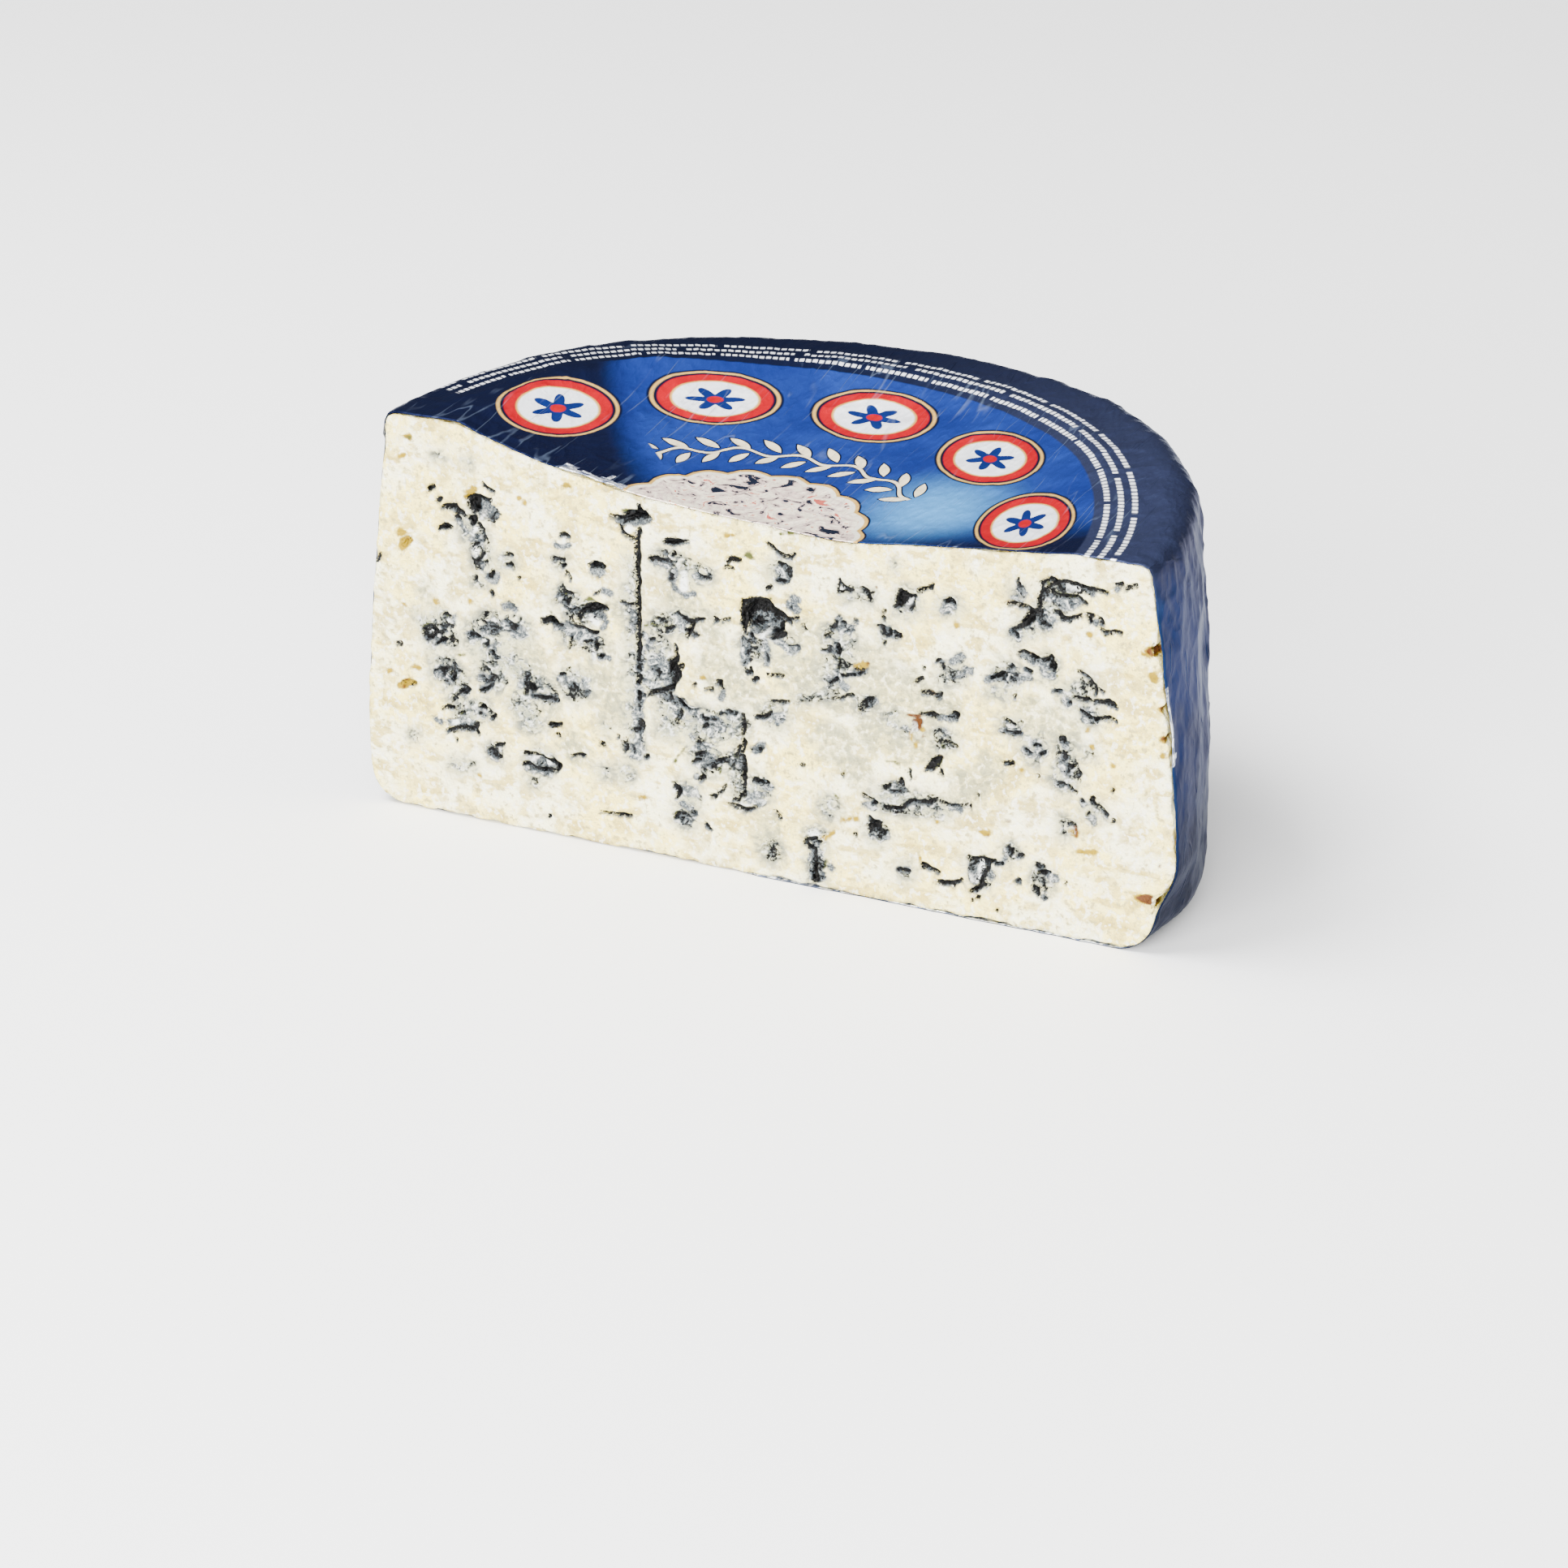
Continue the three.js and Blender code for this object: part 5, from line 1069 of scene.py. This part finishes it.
def put(tree, kind, inputs=None, **settings):
    """Adds a node with its settings, and its inputs by name or number: a constant or a node's output"""
    made = tree.nodes.new("ShaderNode" + kind)
    for name, value in settings.items():
        setattr(made, name, value)
    for name, value in (inputs or {}).items():
        if isinstance(value, bpy.types.NodeSocket):
            tree.links.new(value, made.inputs[name])
        else:
            made.inputs[name].default_value = value
    return made


def maths(tree, operation, *values):
    return put(tree, "Math", dict(enumerate(values)), operation=operation).outputs[0]


def plus(tree, first, second):
    return maths(tree, "ADD", first, second)


def less(tree, first, second):
    return maths(tree, "SUBTRACT", first, second)


def times(tree, first, second):
    return maths(tree, "MULTIPLY", first, second)


def size_of(tree, value):
    return maths(tree, "ABSOLUTE", value)


def distance(tree, x, y):
    return maths(tree, "SQRT", plus(tree, times(tree, x, x), times(tree, y, y)))


def ramp(tree, value, low, high, start=0.0, end=1.0):
    """An even rise from start to end as value goes from low to high"""
    inputs = {"Value": value, "From Min": low, "From Max": high, "To Min": start, "To Max": end}
    return put(tree, "MapRange", inputs, interpolation_type="SMOOTHSTEP").outputs[0]


def blend_colour(tree, share, first, second):
    return put(tree, "Mix", {0: share, 6: first, 7: second}, data_type="RGBA").outputs[2]


def layered(tree, colour, *layers):
    """Lays colours over one another, each through its own mask"""
    for mask, layer in layers:
        colour = blend_colour(tree, mask, colour, layer)
    return colour


def cloudy(tree, place, scale, detail, roughness=0.55):
    """Soft noise from 0 to 1, with scale waves to a metre"""
    inputs = {"Vector": place, "Scale": scale, "Detail": detail, "Roughness": roughness}
    return put(tree, "TexNoise", inputs).outputs[0]


def turned_place(tree, place, turned, stretch):
    """The place turned round the upright by some degrees, then stretched"""
    inputs = {"Vector": place, "Rotation": (0, 0, math.radians(turned)), "Scale": stretch}
    return put(tree, "Mapping", inputs).outputs[0]


def bumped(tree, height, strength, depth):
    return put(tree, "Bump", {"Height": height, "Strength": strength, "Distance": depth}).outputs[0]


def finish_material(tree, inputs):
    """Puts the surface together from the Principled shader's inputs"""
    put(tree, "OutputMaterial", {"Surface": put(tree, "BsdfPrincipled", inputs).outputs[0]})


def band(tree, value, middle, half, soft=0.25):
    """1 within half of middle, with a soft edge, and 0 beyond"""
    off = size_of(tree, less(tree, value, middle))
    return ramp(tree, off, half + soft, half - soft)


def both(tree, first, *rest):
    """Masks multiplied: all of them hold"""
    for other in rest:
        first = times(tree, first, other)
    return first


# Waves to a metre and detail of the noises that colour the paste
PASTE_NOISES = {"fine": (2200, 3), "small": (700, 4), "patchy": (230, 3), "broad": (60, 3)}
SMEAR_SCALE = 130
SMEAR_STRETCH = (1, 1, 2.4)
HAIRLINE_SCALE = 170


def mark_mask(tree, mark, grain, ragged, low, high):
    """Where a mark lies, from low outside its edge to high inside it, with the edge broken up by a noise"""
    uneven = maths(tree, "MULTIPLY_ADD", less(tree, grain, 0.5), ragged, mark)
    return ramp(tree, uneven, low, high)


def paste_ground(tree, place, noises, dip):
    """Cream and butter yellow, mottled at several scales, with painted shade where the relief dips, painted
    highlights on small crumbs, and hairline cracks
    """
    smeared = cloudy(tree, turned_place(tree, place, 0, SMEAR_STRETCH), SMEAR_SCALE, 4)
    hairline = band(tree, cloudy(tree, place, HAIRLINE_SCALE, 4), 0.5, 0.004, 0.016)
    butter = ramp(tree, noises.broad, 0.42, 0.58)
    return layered(
        tree,
        blend_colour(tree, butter, srgb(255, 250, 206), srgb(254, 235, 140)),
        (ramp(tree, noises.patchy, 0.51, 0.64, 0, 0.85), srgb(218, 198, 116)),
        (ramp(tree, smeared, 0.54, 0.64, 0, 0.85), srgb(200, 178, 92)),
        # Painted shade where the paste's relief dips
        (ramp(tree, dip, 0.2, 1.0, 0, 0.9), srgb(192, 174, 106)),
        (ramp(tree, noises.small, 0.57, 0.68, 0, 0.85), srgb(172, 158, 108)),
        # Painted highlights on small crumbs of the paste
        (ramp(tree, noises.small, 0.46, 0.38, 0, 0.7), srgb(255, 253, 234)),
        (both(tree, hairline, ramp(tree, noises.broad, 0.46, 0.56), 0.8), srgb(190, 176, 124)),
    )


def add_veils(tree, colour, noises, marks):
    """Soft grey-green patches, darker in the joins between curds, with painted highlights on the crumbs"""
    veil = mark_mask(tree, marks.veil, noises.patchy, 6.0, -2.6, 1.6)
    joins = mark_mask(tree, marks.curd, noises.small, 0.7, -0.1, 0.2)
    return layered(
        tree,
        colour,
        (ramp(tree, marks.haze, -5.5, 0.0, 0, 0.5), srgb(222, 213, 166)),
        (both(tree, veil, 0.85), srgb(196, 187, 136)),
        (both(tree, veil, ramp(tree, noises.small, 0.5, 0.62), 0.6), srgb(150, 148, 114)),
        (both(tree, veil, joins, 0.5), srgb(130, 132, 110)),
        # Painted highlights on the crumbs
        (both(tree, veil, ramp(tree, noises.small, 0.45, 0.37), 0.6), srgb(255, 249, 212)),
    )


def add_mould(tree, colour, noises, marks, mould):
    """Grey haze with dark joins, slate floors, their pale bottoms, and thin dark outlines round both"""
    deep = mark_mask(tree, marks.haze, noises.small, 7.0, -0.3, 2.7)
    joins = mark_mask(tree, marks.curd, noises.small, 0.7, -0.12, 0.28)
    slate = blend_colour(tree, ramp(tree, noises.fine, 0.44, 0.6), srgb(60, 66, 70), srgb(126, 132, 130))
    colour = layered(
        tree,
        colour,
        (both(tree, mould, 0.9), srgb(180, 178, 142)),
        (both(tree, deep, ramp(tree, noises.small, 0.34, 0.62, 0.5, 1.0), 0.85), srgb(124, 129, 116)),
        (both(tree, joins, mould, ramp(tree, noises.patchy, 0.3, 0.5), 0.85), srgb(80, 87, 90)),
        (mark_mask(tree, marks.slate, noises.small, 1.7, -0.4, 0.35), slate),
        (mark_mask(tree, marks.pale, noises.small, 1.1, -0.3, 0.6), srgb(244, 246, 240)),
    )
    broken = ramp(tree, noises.small, 0.46, 0.56)
    for mark, middle in ((marks.pale, -0.45), (marks.slate, 0.0)):
        outline = both(tree, band(tree, mark, middle, 0.1, 0.2), broken, mould, 0.85)
        colour = blend_colour(tree, outline, colour, srgb(32, 37, 43))
    return colour


def add_spots(tree, colour, noises, marks):
    return layered(
        tree,
        colour,
        (mark_mask(tree, marks.ochre, noises.small, 1.6, -0.4, 0.35), srgb(146, 120, 4)),
        (mark_mask(tree, marks.rust, noises.small, 1.2, -0.3, 0.4), srgb(84, 46, 10)),
        (mark_mask(tree, marks.olive, noises.small, 1.2, -0.3, 0.4), srgb(66, 70, 26)),
    )


def add_black(tree, colour, noises, marks, mould):
    """Dark specks in the haze, and black cracks and pocket roofs with a bleached edge; the roofs' black is
    dark mould with painted shadow under the overhang
    """
    specks = mark_mask(tree, marks.haze, noises.patchy, 4.0, -0.6, 1.6)
    halo = band(tree, marks.crack, -0.42, 0.12, 0.16)
    ink = blend_colour(tree, ramp(tree, noises.small, 0.58, 0.76), srgb(0, 0, 0), srgb(22, 26, 30))
    return layered(
        tree,
        colour,
        (both(tree, ramp(tree, noises.fine, 0.58, 0.66), specks, 0.8), srgb(60, 67, 73)),
        (both(tree, halo, mould, ramp(tree, noises.small, 0.42, 0.6), 0.7), srgb(248, 248, 238)),
        (mark_mask(tree, marks.crack, noises.fine, 1.9, -0.14, 0.12), ink),
    )


def paste_material():
    material = new_material("blue_cheese_paste")
    tree = material.node_tree
    place = put(tree, "TexCoord").outputs["Object"]
    noises = SimpleNamespace()
    for name, (scale, detail) in PASTE_NOISES.items():
        setattr(noises, name, cloudy(tree, place, scale, detail))
    marks = SimpleNamespace()
    for name in NOTED:
        setattr(marks, name, put(tree, "Attribute", attribute_name=name).outputs["Fac"])
    mould = mark_mask(tree, marks.haze, noises.patchy, 5.0, -3.0, 1.2)
    colour = paste_ground(tree, place, noises, marks.dip)
    colour = add_veils(tree, colour, noises, marks)
    colour = add_mould(tree, colour, noises, marks, mould)
    colour = add_spots(tree, colour, noises, marks)
    colour = add_black(tree, colour, noises, marks, mould)
    grain = maths(tree, "MULTIPLY_ADD", noises.patchy, 1.6, noises.small)
    finish_material(tree, {
        "Base Color": colour,
        "Roughness": 0.5,
        "Specular IOR Level": 0.2,
        "Subsurface Weight": 0.06,
        "Subsurface Radius": (0.003, 0.0021, 0.0012),
        "Subsurface Scale": 1.0,
        "Normal": bumped(tree, grain, 0.8, 0.0022),
    })
    return material


# The print on top, round the label's own middle: sizes in mm and turns in degrees from the right-hand end
LABEL_MIDDLE = (-4.3, -7.2)
LABEL_RADIUS = 79.5
# A painted highlight on the label: its middle, and how far it reaches
PAINTED_GLOW_MIDDLE = (38, 26)
PAINTED_GLOW_REACH = 24
BEAD_RINGS = (82.3, 85.3, 88.3)
BEAD_PITCH = 1.6
BEAD_RUNS = (11, 17, 13)
RONDEL_RADIUS = 65.0
RONDEL_STEP = 33.0
RONDEL_STRETCH = 1.4
RONDEL_FIRST = 20.0
RONDEL_COUNT = 5
PETALS = 6
GARLAND_RADIUS = 43.0
GARLAND_PITCH = 9.0
LEAF_MIDDLE = 3.4
LEAF_HALF_LENGTH = 3.7
LEAF_HALF = 1.5
SLANT = math.sqrt(0.5)
MEDALLION_RADIUS = 28.0
MEDALLION_BACK = 5.0
SCALLOPS = 18
NAVY = (12, 17, 40)
GOLD = (200, 160, 84)
CREAM = (236, 222, 188)
RED = (166, 8, 26)
PORCELAIN = (238, 240, 244)
RONDEL_DISCS = ((11.1, NAVY), (10.6, GOLD), (10.0, NAVY), (9.4, RED), (7.3, GOLD), (6.9, PORCELAIN))


def label_places(tree, place):
    """A point round the label's middle: x, y and height in mm, distance in mm and turn in degrees"""
    parts = put(tree, "SeparateXYZ", {0: place}).outputs
    x = maths(tree, "MULTIPLY_ADD", parts[0], 1 / MM, -LABEL_MIDDLE[0])
    y = maths(tree, "MULTIPLY_ADD", parts[1], 1 / MM, -AXIS_Y - LABEL_MIDDLE[1])
    z = times(tree, parts[2], 1 / MM)
    turn = maths(tree, "DEGREES", maths(tree, "ARCTAN2", y, x))
    return x, y, z, distance(tree, x, y), turn


def plain_foil(tree, uneven, z, turn):
    """Blue down the side, and navy round the rim, with painted shade: the rim darker towards the back and
    left, the side darker towards the base
    """
    side = blend_colour(tree, ramp(tree, uneven, 0.35, 0.65), srgb(26, 44, 78), srgb(18, 32, 62))
    # Painted shade: the rim's navy darkens from the right towards the back and left
    rim = blend_colour(tree, ramp(tree, turn, 40, 105), srgb(39, 44, 66), srgb(13, 18, 39))
    # Painted shade: the side darkens towards the base
    side = blend_colour(tree, ramp(tree, z, 56, 8, 0, 0.8), side, srgb(12, 16, 30))
    return blend_colour(tree, ramp(tree, z, 76, 88), side, rim)


def label_ground(tree, uneven, x, y):
    """The label's blue, with a painted highlight right of the middle and navy along the cut"""
    blue = blend_colour(tree, ramp(tree, uneven, 0.3, 0.7), srgb(24, 41, 104), srgb(31, 54, 122))
    away = distance(tree, less(tree, x, PAINTED_GLOW_MIDDLE[0]), less(tree, y, PAINTED_GLOW_MIDDLE[1]))
    # Painted highlight: the blue lightens round a spot right of the label's middle
    light = ramp(tree, away, PAINTED_GLOW_REACH, 2, 0, 0.75)
    blue = blend_colour(tree, light, blue, srgb(84, 160, 222))
    line = times(tree, times(tree, x, x), ramp(tree, x, -10, 10, 0.0155, 0.003))
    return blend_colour(tree, ramp(tree, less(tree, y, line), 15, -3), blue, srgb(*NAVY))


def beading(tree, away, turn):
    """Three rings of small dashes in broken runs"""
    steps = times(tree, turn, math.radians(BEAD_RINGS[1]) / BEAD_PITCH)
    printed = 0.0
    for number, radius in enumerate(BEAD_RINGS):
        phase = maths(tree, "FRACT", plus(tree, steps, 0.37 * number))
        run = maths(tree, "DIVIDE", plus(tree, steps, 3.7 * number), BEAD_RUNS[number])
        run = maths(tree, "FRACT", run)
        dash = both(tree, band(tree, away, radius, 0.58, 0.2), band(tree, phase, 0.5, 0.34, 0.1))
        printed = plus(tree, printed, both(tree, dash, band(tree, run, 0.5, 0.46, 0.005)))
    return both(tree, printed, band(tree, turn, 84, 79.5, 0.5))


def add_rondels(tree, colour, upper, away, turn):
    """A ring of ovals, each in gold, red and white round a blue flower"""
    step = plus(tree, turn, RONDEL_STEP / 2 - RONDEL_FIRST)
    local = less(tree, maths(tree, "FLOORED_MODULO", step, RONDEL_STEP), RONDEL_STEP / 2)
    local = maths(tree, "RADIANS", local)
    across = maths(tree, "DIVIDE", times(tree, away, maths(tree, "SINE", local)), RONDEL_STRETCH)
    outward = less(tree, times(tree, away, maths(tree, "COSINE", local)), RONDEL_RADIUS)
    reach = distance(tree, across, outward)
    middle = RONDEL_FIRST + RONDEL_STEP * (RONDEL_COUNT - 1) / 2
    within = both(tree, upper, band(tree, turn, middle, RONDEL_STEP * RONDEL_COUNT / 2, 0.2))
    for radius, ink in RONDEL_DISCS:
        disc = ramp(tree, reach, radius + 0.2, radius - 0.2)
        colour = blend_colour(tree, both(tree, within, disc), colour, srgb(*ink))
    around = times(tree, maths(tree, "ARCTAN2", outward, across), PETALS)
    petals = maths(tree, "MULTIPLY_ADD", maths(tree, "COSINE", around), 1.4, 3.5)
    flower = ramp(tree, less(tree, reach, petals), 0.15, -0.15)
    colour = blend_colour(tree, both(tree, within, flower), colour, srgb(18, 36, 92))
    return blend_colour(tree, both(tree, within, ramp(tree, reach, 1.5, 1.2)), colour, srgb(*RED))


def add_garland(tree, colour, upper, away, turn):
    """A waving cream stem with leaves on both sides, outlined in navy"""
    swing = maths(tree, "SINE", times(tree, turn, math.radians(180 / GARLAND_PITCH)))
    stem_radius = maths(tree, "MULTIPLY_ADD", swing, 1.2, GARLAND_RADIUS)
    stem = size_of(tree, less(tree, away, stem_radius))
    step = less(tree, maths(tree, "FRACT", maths(tree, "DIVIDE", turn, GARLAND_PITCH)), 0.5)
    leaf_along = times(tree, step, math.radians(GARLAND_PITCH) * GARLAND_RADIUS)
    leaf_out = less(tree, size_of(tree, less(tree, away, GARLAND_RADIUS)), LEAF_MIDDLE)
    lengthways = times(tree, plus(tree, leaf_along, leaf_out), SLANT / LEAF_HALF_LENGTH)
    sideways = size_of(tree, times(tree, less(tree, leaf_along, leaf_out), SLANT))
    leaf_half = maths(tree, "MULTIPLY_ADD", times(tree, lengthways, lengthways), -LEAF_HALF, LEAF_HALF)
    leaf = less(tree, leaf_half, sideways)
    within = both(tree, upper, band(tree, turn, 92, 46, 0.4))
    for drawn_in, ink in ((0.0, NAVY), (0.4, CREAM)):
        shape = maths(tree, "MAXIMUM", less(tree, leaf, drawn_in), less(tree, 0.85 - drawn_in, stem))
        colour = blend_colour(tree, both(tree, within, ramp(tree, shape, -0.1, 0.1)), colour, srgb(*ink))
    return colour


def add_medallion(tree, place, colour, upper, x, y):
    """A scalloped disc of marbled stone at the middle of the cut"""
    back = less(tree, y, MEDALLION_BACK)
    turn = maths(tree, "ARCTAN2", back, x)
    scallop = size_of(tree, maths(tree, "SINE", times(tree, turn, SCALLOPS / 2)))
    outline = maths(tree, "MULTIPLY_ADD", scallop, 1.6, MEDALLION_RADIUS)
    inside = less(tree, outline, distance(tree, x, back))
    inputs = {"Vector": place, "Scale": 210, "Detail": 4, "Roughness": 0.62, "Distortion": 1.4}
    vein = put(tree, "TexNoise", inputs).outputs[0]
    stone = layered(
        tree,
        srgb(252, 242, 216),
        (ramp(tree, vein, 0.42, 0.56), srgb(214, 190, 180)),
        (ramp(tree, vein, 0.56, 0.61), srgb(24, 30, 44)),
        (ramp(tree, vein, 0.42, 0.36), srgb(196, 96, 84)),
    )
    for depth, ink in ((0.0, srgb(*NAVY)), (0.5, srgb(*GOLD)), (1.4, srgb(240, 234, 214)), (2.6, stone)):
        disc = both(tree, upper, ramp(tree, inside, depth - 0.15, depth + 0.15))
        colour = blend_colour(tree, disc, colour, ink)
    return colour


def film_creases(tree, place, turned, stretch, scale):
    """Thin lines that run one way over the film, 1 on a line and 0 off it"""
    level = cloudy(tree, turned_place(tree, place, turned, stretch), scale, 1.5, 0.4)
    return ramp(tree, size_of(tree, less(tree, level, 0.5)), 0.016, 0.0)


def foil_creases(tree, place, z):
    """Creases that run three ways on top and upright down the side, broken into lengths"""
    found = 0.0
    on_top = ramp(tree, z, 74, 82)
    on_side = ramp(tree, z, 80, 70)
    runs = (
        (28, (1, 0.08, 0.3), 120, on_top),
        (-24, (1, 0.1, 0.3), 170, on_top),
        (75, (1, 0.1, 0.3), 200, on_top),
        (0, (1, 1, 0.1), 130, on_side),
        (0, (1, 1, 0.3), 60, on_side),
    )
    for number, (turned, stretch, scale, part) in enumerate(runs):
        lines = film_creases(tree, place, turned, stretch, scale)
        there = ramp(tree, cloudy(tree, place, 38 + 9 * number, 2), 0.5, 0.62)
        found = maths(tree, "MAXIMUM", found, both(tree, lines, there, part))
    return found


def crumpling(tree, place, z):
    """Ridges drawn out one way, gentler on the side than on top: 0 on a ridge, and less in a hollow"""
    drawn_out = turned_place(tree, place, 35, (1, 0.45, 0.35))
    ridges = 0.0
    for scale, share in ((60, 0.5), (150, 0.32), (380, 0.18)):
        level = cloudy(tree, drawn_out, scale, 2, 0.5)
        wrinkle = size_of(tree, maths(tree, "MULTIPLY_ADD", level, 2, -1))
        ridges = maths(tree, "MULTIPLY_ADD", wrinkle, -share / 1.5, ridges)
    return times(tree, ridges, ramp(tree, z, 55, 86, 0.8, 1.0))


def foil_material():
    material = new_material("printed_blue_foil")
    tree = material.node_tree
    place = put(tree, "TexCoord").outputs["Object"]
    uneven = cloudy(tree, place, 45, 3)
    x, y, z, away, turn = label_places(tree, place)
    upper = ramp(tree, z, 70, 72)
    on_label = both(tree, ramp(tree, away, LABEL_RADIUS + 0.3, LABEL_RADIUS - 0.3), upper)
    colour = plain_foil(tree, uneven, z, turn)
    colour = blend_colour(tree, on_label, colour, label_ground(tree, uneven, x, y))
    colour = blend_colour(tree, both(tree, upper, beading(tree, away, turn)), colour, srgb(*PORCELAIN))
    colour = add_rondels(tree, colour, upper, away, turn)
    colour = add_garland(tree, colour, upper, away, turn)
    colour = add_medallion(tree, place, colour, upper, x, y)
    ridges = crumpling(tree, place, z)
    lines = foil_creases(tree, place, z)
    glint = both(tree, lines, upper, ramp(tree, away, 92, 84, 0, 0.1))
    colour = blend_colour(tree, glint, colour, srgb(170, 190, 220))
    height = maths(tree, "MULTIPLY_ADD", lines, 0.06, ridges)
    finish_material(tree, {
        "Base Color": colour,
        "Metallic": 0.5,
        "Roughness": 0.3,
        "IOR": 1.16,
        "Specular IOR Level": 0.4,
        "Specular Tint": (0.16, 0.22, 0.4, 1),
        "Normal": bumped(tree, height, 0.55, 0.0045),
    })
    return material


def silver_material():
    material = new_material("silver_foil_back")
    tree = material.node_tree
    folds = cloudy(tree, put(tree, "TexCoord").outputs["Object"], 520, 3)
    # Painted shade and highlight: the silver darkens in the hollows of its crinkles and lightens on their
    # ridges
    colour = blend_colour(tree, ramp(tree, folds, 0.42, 0.56), srgb(96, 106, 132), srgb(226, 230, 236))
    bump = bumped(tree, folds, 0.7, 0.002)
    finish_material(tree, {"Base Color": colour, "Metallic": 0.8, "Roughness": 0.34, "Normal": bump})
    return material


def dress(piece, *materials):
    piece.data.materials.clear()
    for material in materials:
        piece.data.materials.append(material)


def make_floor():
    bpy.ops.mesh.primitive_plane_add(size=10, location=(0, 0, 0))
    floor = bpy.context.active_object
    floor.name = "studio_floor"
    material = new_material("pale_floor")
    finish_material(material.node_tree, {"Base Color": (0.9, 0.9, 0.9, 1), "Roughness": 0.7})
    dress(floor, material)


def add_softbox(name, place, aim, size, watts):
    light = bpy.data.lights.new(name, "AREA")
    light.shape = "RECTANGLE"
    light.size, light.size_y = size
    light.energy = watts
    lamp = bpy.data.objects.new(name, light)
    lamp.location = place
    lamp.rotation_euler = (Vector(aim) - Vector(place)).to_track_quat("-Z", "Y").to_euler()
    bpy.context.scene.collection.objects.link(lamp)


def light_studio():
    world = bpy.data.worlds.new("pale_room")
    world.use_nodes = True
    tree = world.node_tree
    up = put(tree, "SeparateXYZ", {0: put(tree, "TexCoord").outputs["Generated"]}).outputs[2]
    level = ramp(tree, up, 0.45, 0.85, 0.2, 1.7)
    tree.links.new(level, tree.nodes["Background"].inputs["Strength"])
    tree.nodes["Background"].inputs["Color"].default_value = (1, 1, 1, 1)
    bpy.context.scene.world = world
    middle = (0, 0, 0.05)
    add_softbox("key_overhead", (-0.55, -0.35, 1.3), middle, (0.9, 0.7), 56)
    add_softbox("front_fill", (0.3, -1.8, 0.7), middle, (1.6, 1.0), 160)


# The camera that sees what the photo sees: place and direction, roll in radians, and lens in mm
CAMERA_PLACE = Vector((0.49812, -1.01677, 0.47718))
CAMERA_AHEAD = Vector((-0.41786, 0.82258, -0.38569))
CAMERA_ROLL = -0.0025
CAMERA_LENS = 122.93


def place_camera():
    data = bpy.data.cameras.new("camera")
    data.lens = CAMERA_LENS
    data.sensor_width = 36
    camera = bpy.data.objects.new("camera", data)
    camera.location = CAMERA_PLACE
    level = CAMERA_AHEAD.to_track_quat("-Z", "Y")
    camera.rotation_euler = (level @ Quaternion((0, 0, 1), CAMERA_ROLL)).to_euler()
    bpy.context.scene.collection.objects.link(camera)
    bpy.context.scene.camera = camera


place_camera()
light_studio()
make_floor()

cheese = make_cheese()
dress(cheese, paste_material())
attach(cheese, "root")
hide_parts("cheese")

foil = make_foil()
dress(foil, foil_material(), silver_material())
bare_edges(foil)
crumple(foil)
foil.data.shade_smooth()
thicken(foil, FOIL_SKIN)
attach(foil, "root")
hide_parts("foil_wrapper")
